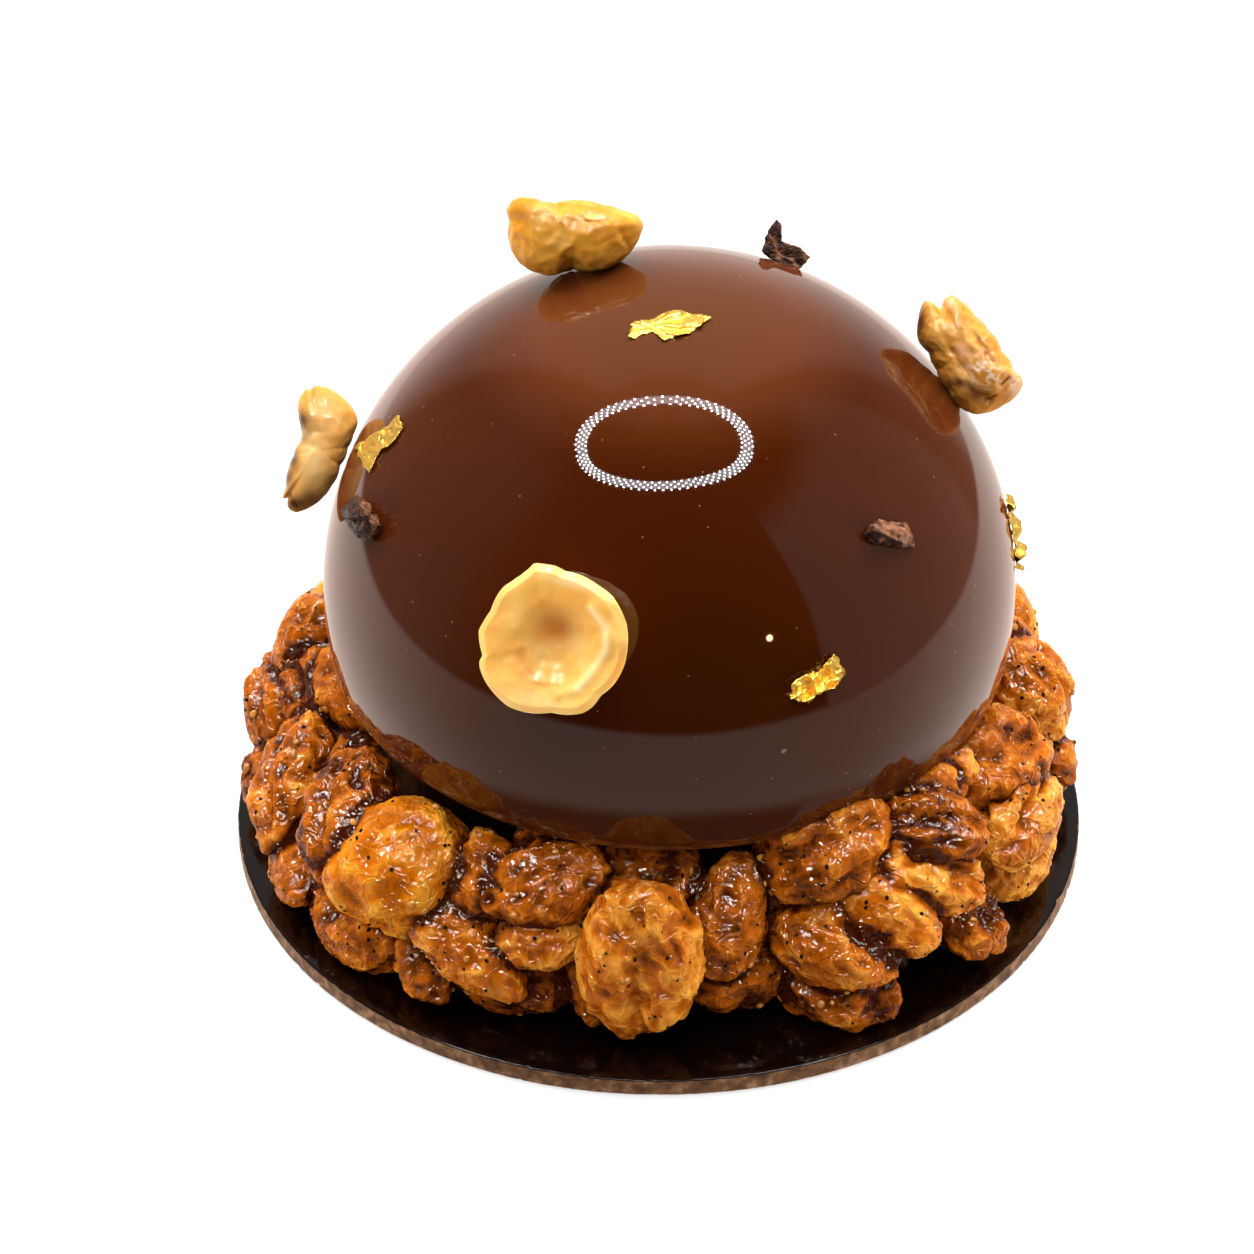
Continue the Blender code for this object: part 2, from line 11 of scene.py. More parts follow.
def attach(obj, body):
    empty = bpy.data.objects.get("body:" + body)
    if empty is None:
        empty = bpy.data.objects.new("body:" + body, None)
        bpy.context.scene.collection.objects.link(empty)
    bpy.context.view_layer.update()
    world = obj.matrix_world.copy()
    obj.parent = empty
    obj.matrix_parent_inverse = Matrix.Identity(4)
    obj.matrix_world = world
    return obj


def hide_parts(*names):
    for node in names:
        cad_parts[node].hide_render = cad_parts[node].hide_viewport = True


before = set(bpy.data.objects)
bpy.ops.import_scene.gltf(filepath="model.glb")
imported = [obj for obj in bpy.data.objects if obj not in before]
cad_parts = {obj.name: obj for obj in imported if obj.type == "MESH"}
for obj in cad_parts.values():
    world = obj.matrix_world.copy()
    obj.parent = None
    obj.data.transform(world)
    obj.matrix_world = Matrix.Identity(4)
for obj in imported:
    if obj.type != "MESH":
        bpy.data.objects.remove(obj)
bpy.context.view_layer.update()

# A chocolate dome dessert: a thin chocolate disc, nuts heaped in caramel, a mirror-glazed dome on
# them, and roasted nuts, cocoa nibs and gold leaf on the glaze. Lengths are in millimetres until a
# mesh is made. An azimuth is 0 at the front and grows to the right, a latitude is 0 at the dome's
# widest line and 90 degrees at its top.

MM = 0.001
WHITE = (1.0, 1.0, 1.0, 1.0)
LINK = bpy.context.scene.collection.objects.link

# The looks that a lamp of its own lights, so that caramel can glint and the glaze stay deep
RECEIVERS = {
    "caramel": ("nut_in_caramel", "hazelnut_in_caramel", "nut_crumb"),
    "toppings": (
        "golden_nut_flesh",
        "broken_nut_flesh",
        "curved_nut_flesh",
        "hazelnut_flesh",
        "gold_leaf",
    ),
    "filled": ("nut_in_caramel", "hazelnut_in_caramel", "nut_crumb", "hazelnut_flesh"),
    "glaze": ("mirror_glaze",),
}
LIT = {group: bpy.data.collections.new(group) for group in RECEIVERS}

# How the photograph looks at the dessert
SIGHT = math.radians(36.96)
RIGHTWARDS = np.array((1.0, 0.0, 0.0))
UPWARDS = np.array((0.0, math.sin(SIGHT), math.cos(SIGHT)))
TOWARDS = np.array((0.0, -math.cos(SIGHT), math.sin(SIGHT)))
CAMERA_AIM = np.array((-3.3, 0.0, 25.14))
CAMERA_DISTANCE = 616.0
CAMERA_LENS = 172.7
CAMERA_SENSOR = 36.0

# Chocolate disc
DISC_RADIUS = 44.0
DISC_THICKNESS = 2.0
DISC_EDGE_ROUND = 0.25
DISC_STEPS = 720

# Dome
DOME_AXIS = np.array((1.0, 0.0, 30.8))
DOME_RADIUS = 35.2
DOME_RISE = 34.0
DOME_FOOT_Z = 22.0
DOME_FOOT_ROUND = 3.2
DOME_SIZES = np.array((DOME_RADIUS, DOME_RADIUS, DOME_RISE))
DOME_RIPPLE = 0.05

# Heaped nuts
HEAP_FOOT_RADIUS = 31.5
HEAP_TOP_RADIUS = 27.5
HEAP_TOP_Z = 21.7
HEAP_EDGE = 3.0
HEAP_BELLY_Z = 9.0
HEAP_BELLY_INSET = 1.5
HEAP_WIDENING = 0.3
HEAP_FLOOR_Z = 2.3
HEAP_STEPS = 48
SYRUP_CELL = 0.56
SYRUP_SINKS = 0.8
BITS_FROM_RADIUS = 31.0

# A nut of the heap: kind, azimuth, radius, height of its middle, turn from the tangent towards
# the outside, lean of its long axis, length, width, and how pale its caramel is, which is partly
# its own tone and partly painted light and shade, set nut by nut
FRONT_NUTS = (
    ("almond", -104, 38.0, 16.2, 29, -47, 11.0, 7.0, 0.00),
    ("pecan", -100, 40.0, 10.5, -3, -23, 12.0, 7.5, -0.25),
    ("pecan", -94, 35.5, 14.5, -13, -16, 12.0, 7.0, -0.30),
    ("chunk", -88, 39.0, 6.0, -33, 0, 9.0, 7.5, -0.20),
    ("pecan", -78, 38.5, 11.5, 27, -26, 16.0, 7.0, -0.10),
    ("chunk", -75, 32.0, 12.5, 24, -29, 9.0, 7.0, -0.30),
    ("almond", -68, 39.5, 6.0, 22, 0, 12.0, 7.0, -0.05),
    ("pecan", -56, 37.7, 17.3, 49, -25, 15.0, 8.5, -0.25),
    ("chunk", -52, 38.5, 6.0, 7, 0, 14.0, 8.0, -0.10),
    ("hazelnut", -43, 37.2, 15.8, -54, 10, 14.0, 13.5, 0.00),
    ("chunk", -37, 38.0, 6.5, 34, -8, 9.0, 7.0, -0.15),
    ("chunk", -30, 35.0, 17.0, -79, 46, 9.0, 7.0, 0.00),
    ("almond", -29, 39.0, 11.0, 4, -27, 15.0, 7.0, 0.10),
    ("almond", -24, 36.0, 6.0, -1, 0, 13.0, 7.0, -0.25),
    ("pecan", -19, 35.2, 18.5, -27, 15, 12.5, 7.3, -0.15),
    ("chunk", -19, 30.0, 20.0, -19, 0, 9.0, 6.5, -0.30),
    ("almond", -18, 36.5, 13.0, -33, -3, 10.0, 6.5, 0.15),
    ("almond", -11, 35.0, 7.0, 78, -40, 9.0, 6.0, -0.15),
    ("pecan", -3, 30.5, 17.5, 8, 0, 13.0, 7.5, -0.20),
    ("pecan", -3, 38.4, 13.0, 85, -94, 19.5, 10.4, 0.05),
    ("almond", 11, 34.5, 15.0, -54, 61, 13.0, 8.0, -0.05),
    ("almond", 15, 34.0, 7.0, -7, 3, 12.0, 7.0, -0.25),
    ("pecan", 27, 37.5, 12.0, 52, -17, 14.5, 9.0, 0.00),
    ("chunk", 28, 38.0, 5.8, 44, -3, 12.0, 8.0, -0.25),
    ("pecan", 28, 34.0, 20.5, 16, 24, 14.5, 9.0, -0.15),
    ("almond", 35, 38.6, 14.4, 65, -30, 13.5, 9.0, 0.15),
    ("pecan", 41, 38.6, 17.0, 39, -23, 15.0, 7.0, 0.15),
    ("pecan", 45, 38.0, 20.5, 47, -11, 12.0, 6.5, -0.25),
    ("chunk", 52, 39.0, 6.5, -83, 9, 9.0, 7.0, -0.20),
    ("chunk", 49, 34.5, 21.5, 41, 10, 8.0, 6.5, 0.00),
    ("chunk", 56, 35.0, 22.0, 33, 0, 5.0, 4.5, 0.10),
    ("pecan", 67, 39.5, 13.0, 1, 4, 14.0, 7.5, 0.10),
    ("pecan", 71, 38.0, 6.6, -2, 2, 15.0, 8.0, 0.20),
    ("pecan", 70, 36.0, 17.5, 22, -8, 14.5, 9.0, -0.15),
    ("chunk", 92, 40.0, 7.0, -12, 0, 9.0, 7.0, -0.15),
    ("pecan", 96, 38.0, 14.5, -39, 32, 12.5, 9.5, 0.00),
    ("almond", 105, 37.6, 15.8, 90, -45, 9.0, 6.5, 0.00),
)

# The heap goes on behind the dome in three courses: radius, height, azimuth step, first azimuth
BACK_COURSES = ((36.8, 6.2, 18.0, 106), (35.0, 12.6, 18.0, 116), (31.5, 18.6, 21.0, 126))
BACK_END = 248
BACK_SPREAD = 3.0
BACK_SEED = 7
TUCKED_NUTS = ((-88, 31.5, 17.5), (82, 31.5, 17.5))

THICKNESS = {"pecan": 0.86, "almond": 0.85, "hazelnut": 0.95, "chunk": 0.85}
ROUGHNESS = {"pecan": 0.10, "almond": 0.06, "hazelnut": 0.07, "chunk": 0.20}
PECAN_GROOVE = 0.38
PECAN_GROOVE_WIDTH = 0.3
PECAN_BACK_GROOVE = 0.4
ALMOND_TAPER = 0.22
CHUNK_BOXY = 0.75
GRAIN = 1.6
GRAIN_SEED = 5

# Roasted nuts on the glaze: the middle, how deep they are before and behind it, and the outline
# that the photograph shows round it, as millimetres rightwards and upwards
GOLDEN_MIDDLE = np.array((-8.5, 10.6, 66.0))
GOLDEN_DEPTHS = (4.4, 4.5)
GOLDEN_OUTLINE = (
    (-6.3, 3.5), (-5.4, 3.8), (-4.1, 3.8), (-3.3, 3.3), (-2.1, 3.2), (-0.5, 3.5), (1.0, 3.4), (2.8, 3.1),
    (4.8, 2.5), (6.3, 2.0), (6.9, 1.2), (6.6, 0.3), (5.6, -1.6), (4.0, -2.9), (2.5, -3.4), (1.0, -3.4),
    (-0.2, -3.1), (-1.3, -3.6), (-2.7, -4.0), (-4.1, -3.7), (-5.5, -2.7), (-6.4, -1.2), (-6.8, 0.3),
    (-6.6, 1.5), (-6.9, 2.5),
)
BROKEN_MIDDLE = np.array((30.9, 6.8, 54.2))
BROKEN_DEPTHS = (3.7, 3.7)
BROKEN_OUTLINE = (
    (-4.8, 4.6), (-4.3, 5.5), (-3.4, 5.1), (-2.8, 4.7), (-2.3, 5.7), (-1.6, 6.1), (-0.7, 5.4), (0.7, 4.0),
    (2.1, 2.5), (3.4, 0.5), (4.6, -1.5), (5.4, -2.1), (5.6, -2.9), (5.1, -3.9), (3.7, -5.0), (2.3, -5.8),
    (0.7, -6.0), (-0.7, -5.3), (-2.0, -3.5), (-3.1, -1.5), (-3.9, 0.3), (-4.9, 1.5), (-5.1, 3.0),
)
CURVED_MIDDLE = np.array((-34.4, 6.1, 42.8))
CURVED_DEPTHS = (3.4, 3.4)
CURVED_OUTLINE = (
    (-1.7, 6.1), (-1.4, 6.5), (-1.0, 6.3), (-0.8, 6.7), (-0.1, 6.7), (0.8, 6.5), (2.0, 5.8), (3.0, 4.9),
    (3.6, 3.9), (3.8, 3.0), (3.4, 1.8), (2.8, 0.4), (2.0, -1.4), (1.2, -3.4), (0.3, -4.6), (-1.1, -5.7),
    (-2.5, -6.2), (-3.1, -5.9), (-3.4, -5.3), (-3.9, -4.9), (-3.1, -4.5), (-3.5, -3.6), (-3.5, -2.6),
    (-3.2, -1.6), (-2.7, -0.4), (-2.0, 1.1), (-1.9, 1.8), (-2.0, 2.7), (-2.2, 3.9), (-2.3, 4.3), (-2.2, 5.4),
)

# The hazelnut half: its place, its rim in its own plane, rightwards and upwards, and the heights of
# its cut face and its round side over the glaze, from the middle to the rim
HALF_PLACE = (-18.9, 27.0, 0.3, 0.0)
HALF_DEPTH = 5.2
HALF_OUTLINE = (
    (-2.83, 7.43), (-1.74, 7.52), (-0.65, 7.56), (0.38, 7.24), (2.11, 7.13), (3.66, 6.61), (5.38, 5.76),
    (6.43, 4.55), (7.16, 3.39), (7.5, 2.06), (7.6, 0.31), (7.4, -1.06), (6.83, -2.55), (5.7, -3.91),
    (5.05, -5.18), (4.19, -5.95), (3.02, -6.34), (1.08, -6.5), (-1.16, -7.0), (-3.23, -6.8), (-4.67, -5.97),
    (-5.9, -4.84), (-6.64, -3.67), (-6.78, -2.98), (-6.5, -2.47), (-7.0, -1.35), (-7.3, -0.12), (-6.96, 0.8),
    (-6.41, 1.99), (-6.03, 3.49), (-5.51, 4.55), (-4.76, 5.23), (-3.96, 5.99), (-3.22, 6.79),
)
HALF_FACE = ((0.0, 3.75), (0.26, 3.85), (0.42, 4.25), (0.55, 4.7), (0.75, 5.0), (0.9, 5.2), (1.0, 4.75))
HALF_BOWL = ((0.0, -0.2), (0.3, 0.1), (0.6, 1.1), (0.85, 2.9), (0.96, 4.1), (1.0, 4.75))
HALF_RIDGE = ((3.6, 4.2), (5.3, 2.6), (5.6, 0.6), (4.6, -1.8), (3.4, -3.6), (1.6, -4.6))


def noise_table(seed):
    draw = np.random.default_rng(seed)
    order = np.tile(draw.permutation(256), 2)
    slopes = draw.normal(size=(256, 3))
    return order, slopes / np.linalg.norm(slopes, axis=1)[:, None]


ORDER, SLOPES = noise_table(5)


def lumps(points, size, seed=0):
    """Smooth noise from about -1 to 1, its lumps this many millimetres across."""
    place = points / size + np.array((seed * 3.7, seed * 5.3, seed * 7.9))
    cell = np.floor(place).astype(int)
    inside = place - cell
    ease = inside**3 * (inside * (inside * 6.0 - 15.0) + 10.0)
    total = np.zeros(len(points))
    for corner in np.ndindex(2, 2, 2):
        x, y, z = ((cell + corner) & 255).T
        slope = SLOPES[ORDER[ORDER[ORDER[x] + y] + z]]
        share = np.prod(np.where(corner, ease, 1.0 - ease), axis=1)
        total += share * np.sum(slope * (inside - corner), axis=1)
    return total * 1.7


def folds(points, size, seed=0):
    """Sharp-backed wrinkles from -1 to 1, this many millimetres apart."""
    return 1.0 - 2.5 * np.abs(lumps(points, size, seed))


def bump(value, centre, width):
    """A smooth hump that is 1 at the centre."""
    return np.exp(-(((value - centre) / width) ** 2))


def boxy(value, power):
    """Pushes a coordinate of the unit ball outwards, the more so the lower the power."""
    return np.copysign(np.abs(value) ** power, value)


def ramp(value, low, high):
    """0 below low, 1 above high and smooth between."""
    share = np.clip((value - low) / (high - low), 0.0, 1.0)
    return share * share * (3.0 - 2.0 * share)


def ball(across, along):
    """Points of the unit ball and its four-sided faces, from a blown-up box that is finer along Z."""
    counts = (across, across, along)
    points = []
    faces = []
    for axis in range(3):
        a, b = [i for i in range(3) if i != axis]
        for side in (-1.0, 1.0):
            steps = [np.tan(np.linspace(-math.pi / 4, math.pi / 4, counts[i] + 1)) for i in (a, b)]
            grid = np.stack(np.meshgrid(*steps, indexing="ij"), axis=-1).reshape(-1, 2)
            place = np.empty((len(grid), 3))
            place[:, axis] = side
            place[:, a] = grid[:, 0]
            place[:, b] = grid[:, 1]
            row, column = np.divmod(np.arange(counts[a] * counts[b]), counts[b])
            first = row * (counts[b] + 1) + column
            cells = np.stack((first, first + 1, first + counts[b] + 2, first + counts[b] + 1), axis=1)
            start = sum(len(part) for part in points)
            points.append(place)
            faces.append(cells + start)
    points = np.concatenate(points)
    faces = np.concatenate(faces)
    _, keep, same = np.unique(np.round(points, 6), axis=0, return_index=True, return_inverse=True)
    points = points[keep]
    points /= np.linalg.norm(points, axis=1)[:, None]
    faces = same.reshape(-1)[faces]
    corners = points[faces]
    facing = np.cross(corners[:, 2] - corners[:, 0], corners[:, 3] - corners[:, 1])
    inwards = np.sum(facing * corners.mean(axis=1), axis=1) < 0.0
    faces[inwards] = faces[inwards][:, ::-1]
    return points, faces


def outward(points, faces):
    """The direction that the surface faces at each point."""
    corners = points[faces]
    facing = np.cross(corners[:, 2] - corners[:, 0], corners[:, 3] - corners[:, 1])
    total = np.zeros_like(points)
    for corner in range(4):
        for axis in range(3):
            total[:, axis] += np.bincount(faces[:, corner], facing[:, axis], len(points))
    return total / np.maximum(np.linalg.norm(total, axis=1), 1e-12)[:, None]


def oval(wide, deep, height, steps):
    """A closed ring of points round the upright axis."""
    angles = np.arange(steps) * math.tau / steps
    return np.stack((np.sin(angles) * wide, -np.cos(angles) * deep, np.full(steps, height)), axis=1)


def bands(rings, steps):
    """The four-sided faces between closed rings of points that follow one another."""
    ring, step = np.divmod(np.arange((rings - 1) * steps), steps)
    here = ring * steps + step
    beside = ring * steps + (step + 1) % steps
    return np.stack((here, here + steps, beside + steps, beside), axis=1)


def mesh_of(name, points, faces, values=None):
    """A smooth-shaded mesh in metres, with named numbers at its points."""
    mesh = bpy.data.meshes.new(name)
    sides = faces.shape[1]
    mesh.vertices.add(len(points))
    mesh.vertices.foreach_set("co", (points * MM).astype(np.float32).ravel())
    mesh.loops.add(faces.size)
    mesh.loops.foreach_set("vertex_index", faces.astype(np.int32).ravel())
    mesh.polygons.add(len(faces))
    mesh.polygons.foreach_set("loop_start", np.arange(0, faces.size, sides, dtype=np.int32))
    mesh.update(calc_edges=True)
    mesh.validate()
    mesh.shade_smooth()
    for title, numbers in (values or {}).items():
        mesh.attributes.new(title, "FLOAT", "POINT").data.foreach_set("value", numbers.astype(np.float32))
    return mesh


def face_outwards(mesh, merged=0.0):
    """Turns all faces outwards, after points that lie this near together are made one."""
    shape = bmesh.new()
    shape.from_mesh(mesh)
    if merged:
        bmesh.ops.remove_doubles(shape, verts=shape.verts, dist=merged)
    bmesh.ops.recalc_face_normals(shape, faces=shape.faces)
    shape.to_mesh(mesh)
    shape.free()


def stack(parts):
    """Joins (points, faces, values) of many shapes into one."""
    starts = np.cumsum([0] + [len(points) for points, _, _ in parts[:-1]])
    points = np.concatenate([part[0] for part in parts])
    faces = np.concatenate([part[1] + start for part, start in zip(parts, starts)])
    values = {title: np.concatenate([part[2][title] for part in parts]) for title in parts[0][2]}
    return points, faces, values


def show(name, mesh, look, nodes):
    """Puts a finished mesh into the model, in the place of the frame's nodes."""
    made = bpy.data.objects.new(name, mesh)
    mesh.name = name
    mesh.materials.clear()
    mesh.materials.append(look)
    LINK(made)
    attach(made, "root")
    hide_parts(*nodes)
    for group, looks in RECEIVERS.items():
        if look.name in looks:
            LIT[group].objects.link(made)
    return made


def read_points(mesh, title):
    """One row of three numbers for each point of a mesh."""
    numbers = np.empty(len(mesh.vertices) * 3, np.float32)
    mesh.vertices.foreach_get(title, numbers)
    return numbers.reshape(-1, 3).astype(float)


def plain_mesh(holder):
    """The object's mesh with its modifiers applied. The object itself is taken away."""
    bpy.context.view_layer.update()
    graph = bpy.context.evaluated_depsgraph_get()
    made = bpy.data.meshes.new_from_object(holder.evaluated_get(graph))
    holder.modifiers.clear()
    bpy.data.objects.remove(holder, do_unlink=True)
    return made


def worked(name, mesh, changes):
    """Puts a mesh through modifiers, each given as its kind and its settings."""
    holder = bpy.data.objects.new(name, mesh)
    LINK(holder)
    for kind, settings in changes:
        change = holder.modifiers.new(kind, kind)
        for setting, value in settings.items():
            setattr(change, setting, value)
    return plain_mesh(holder)


def grown(name, mesh, tree, sizes):
    """Runs a node tree on a mesh and gives back the plain mesh that it makes."""
    holder = bpy.data.objects.new(name, mesh)
    LINK(holder)
    change = holder.modifiers.new(name, "NODES")
    change.node_group = tree
    for socket in tree.interface.items_tree:
        if socket.item_type == "SOCKET" and socket.in_out == "INPUT" and socket.name in sizes:
            change[socket.identifier] = sizes[socket.name]
    return plain_mesh(holder)


def axes_at(along, out):
    """Rows of a turned frame: X across, Y as near as it gets to out, Z along."""
    across = np.cross(out, along)
    across /= np.linalg.norm(across)
    facing = np.cross(along, across)
    return np.array((across, facing / np.linalg.norm(facing), along))


def heading(azimuth, height):
    """The direction at this azimuth and angle over the horizon."""
    a = math.radians(azimuth)
    b = math.radians(height)
    return np.array((math.sin(a) * math.cos(b), -math.cos(a) * math.cos(b), math.sin(b)))


def dome_frame(azimuth, latitude, height, spin):
    """The middle and the axes of a piece on the glaze: Z along it, Y away from the dome."""
    a = math.radians(azimuth)
    out = heading(azimuth, latitude)
    normal = out / DOME_SIZES
    normal /= np.linalg.norm(normal)
    tangent = np.array((math.cos(a), math.sin(a), 0.0))
    uphill = np.cross(normal, tangent)
    uphill *= math.copysign(1.0, uphill[2])
    turn = math.radians(spin)
    along = tangent * math.cos(turn) + uphill * math.sin(turn)
    return DOME_AXIS + out * DOME_SIZES + normal * height, axes_at(along, normal)


def ring_frame(azimuth, radius, height, turn, lean):
    """The middle and the axes of a nut in the heap."""
    a = math.radians(azimuth)
    outwards = heading(azimuth, 0.0)
    tangent = np.array((math.cos(a), math.sin(a), 0.0))
    flat = tangent * math.cos(math.radians(turn)) + outwards * math.sin(math.radians(turn))
    lift = math.radians(lean)
    along = flat * math.cos(lift) + np.array((0.0, 0.0, math.sin(lift)))
    middle = outwards * radius + np.array((0.0, 0.0, height))
    return middle, axes_at(along, outwards + np.array((0.0, 0.0, 1.0)))


# Looks, and the node trees of looks and shapes


def colour(code):
    """An sRGB hex colour as linear red, green, blue and alpha."""
    channels = [int(code[i : i + 2], 16) / 255 for i in (1, 3, 5)]
    return (*[c / 12.92 if c <= 0.04045 else ((c + 0.055) / 1.055) ** 2.4 for c in channels], 1.0)


def every(size):
    """The scale of a pattern whose marks are this many millimetres apart."""
    return 1.0 / (size * MM)


def node(tree, kind, inputs=None, out=0, stops=(), **settings):
    """Adds a node with its settings, links or fills its inputs, and gives back one of its outputs."""
    made = tree.nodes.new(kind)
    for name, value in settings.items():
        setattr(made, name, value)
    for key, value in (inputs or {}).items():
        if isinstance(value, bpy.types.NodeSocket):
            tree.links.new(value, made.inputs[key])
        else:
            made.inputs[key].default_value = value
    if stops:
        marks = made.color_ramp.elements
        for mark, (place, code) in zip((marks[0], marks[1]), (stops[0], stops[-1])):
            mark.position = place
            mark.color = colour(code)
        for place, code in stops[1:-1]:
            marks.new(place).color = colour(code)
    return made.outputs[out] if made.outputs else None


def new_look(name):
    """An empty material and the function that adds nodes to it."""
    look = bpy.data.materials.new(name)
    look.use_nodes = True
    look.node_tree.nodes.clear()
    return look, partial(node, look.node_tree)


def new_tree(name, numbers, counts):
    """A tree that reshapes a mesh, with these named inputs, and the function that adds its nodes."""
    tree = bpy.data.node_groups.new(name, "GeometryNodeTree")
    tree.interface.new_socket("Geometry", in_out="INPUT", socket_type="NodeSocketGeometry")
    for titles, kind in ((numbers, "NodeSocketFloat"), (counts, "NodeSocketInt")):
        for title in titles:
            tree.interface.new_socket(title, in_out="INPUT", socket_type=kind)
    tree.interface.new_socket("Geometry", in_out="OUTPUT", socket_type="NodeSocketGeometry")
    return tree, partial(node, tree), tree.nodes.new("NodeGroupInput").outputs


def caramel_nut_look(name, deep, middle, pale):
    """Nuts boiled in caramel: an amber, see-through skin with a wet gloss over pale nut flesh, so
    the grooves where it pools are brown and the worn backs of the wrinkles are golden. Where
    nuts meet it is darker still, from thick caramel and from painted shade. The finest grain is
    drawn coarser than sugar's, so that it shows."""
    look, add = new_look(name)
    place = add("ShaderNodeTexCoord", out=3)
    # Darker where nuts meet: thick caramel there, and painted shade between the nuts.
    crest_and_shade = add("ShaderNodeAttribute", out=2, attribute_name="crest_and_shade")
    # Each nut paler or darker as a whole: partly its own tone, and partly painted light and shade set nut by
    # nut.
    tone_and_shade = add("ShaderNodeAttribute", out=2, attribute_name="tone_and_shade")
    patches = add("ShaderNodeTexNoise", {"Vector": place, "Scale": every(4.35), "Detail": 3.0})
    film = add(
        "ShaderNodeTexNoise",
        {"Vector": place, "Scale": every(1.22), "Detail": 1.0, "Roughness": 0.4, "Distortion": 0.9},
    )
    level = add("ShaderNodeMath", {0: tone_and_shade, 1: crest_and_shade}, operation="ADD")
    wrinkles = add(
        "ShaderNodeTexNoise",
        {"Vector": place, "Scale": every(1.786), "Detail": 1.5, "Roughness": 0.5, "Distortion": 0.6},
    )
    wrinkles = add("ShaderNodeMath", {0: wrinkles, 1: 0.5}, operation="SUBTRACT")
    wrinkles = add("ShaderNodeMath", {0: wrinkles}, operation="ABSOLUTE")
    wrinkles = add("ShaderNodeMapRange", {0: wrinkles, 1: 0.0, 2: 0.07, 3: 1.0, 4: 0.0})
    for waves, share in ((patches, 0.45), (film, 0.34), (wrinkles, 0.18)):
        shift = add("ShaderNodeMath", {0: waves, 1: 0.5}, operation="SUBTRACT")
        level = add("ShaderNodeMath", {0: shift, 1: share, 2: level}, operation="MULTIPLY_ADD")
    stops = ((0.0, deep), (0.5, middle), (1.0, pale))
    amber = add("ShaderNodeValToRGB", {0: level}, stops=stops)
    cloudy = {"Vector": place, "Scale": every(5.26), "Detail": 2.0, "Roughness": 0.6}
    veil = add("ShaderNodeTexNoise", cloudy)
    veil = add("ShaderNodeMapRange", {0: veil, 1: 0.58, 2: 0.72, 3: 0.0, 4: 0.4})
    flesh = add("ShaderNodeMix", {0: veil, 6: amber, 7: colour("#5a2c0e")}, out=2, data_type="RGBA")
    height = add("ShaderNodeMath", {0: wrinkles, 1: 0.6, 2: film}, operation="MULTIPLY_ADD")
    sugar = {"Vector": place, "Scale": every(0.526), "Detail": 1.0, "Distortion": 0.5}
    grain = add("ShaderNodeTexNoise", sugar)
    height = add("ShaderNodeMath", {0: grain, 1: 0.2, 2: height}, operation="MULTIPLY_ADD")
    skin = add("ShaderNodeBump", {"Height": height, "Strength": 0.7, "Distance": 0.5 * MM})
    surface = add(
        "ShaderNodeBsdfPrincipled",
        {
            "Base Color": flesh,
            "Roughness": 0.4,
            "IOR": 1.5,
            "Specular IOR Level": 0.0,
            "Normal": skin,
            "Subsurface Weight": 0.12,
            "Subsurface Radius": (1.0, 0.4, 0.1),
            "Subsurface Scale": 0.7 * MM,
            "Coat Weight": 0.6,
            "Coat Roughness": 0.03,
            "Coat Normal": skin,
        },
    )
    add("ShaderNodeOutputMaterial", {"Surface": surface})
    return look


def syrup_look():
    """Set caramel between the nuts: near-black amber, partly its own colour and partly painted shade in the
    gaps, clear and glassy where it bridges a gap.
    """
    look, add = new_look("set_caramel_dark_as_shade")
    place = add("ShaderNodeTexCoord", out=3)
    clouds = add("ShaderNodeTexNoise", {"Vector": place, "Scale": every(2.86), "Detail": 3.0})
    # Near-black amber: partly the caramel's own colour and partly painted shade for the gaps between nuts.
    amber = add("ShaderNodeValToRGB", {0: clouds}, stops=((0.35, "#0e0401"), (0.75, "#351503")))
    ripple = add("ShaderNodeTexNoise", {"Vector": place, "Scale": every(0.909), "Detail": 2.0})
    skin = add("ShaderNodeBump", {"Height": ripple, "Strength": 0.4, "Distance": 0.2 * MM})
    surface = add(
        "ShaderNodeBsdfPrincipled",
        {
            "Base Color": amber,
            "Roughness": 0.18,
            "IOR": 1.5,
            "Specular IOR Level": 0.3,
            "Specular Tint": colour("#c88452"),
            "Normal": skin,
        },
    )
    add("ShaderNodeOutputMaterial", {"Surface": surface})
    return look


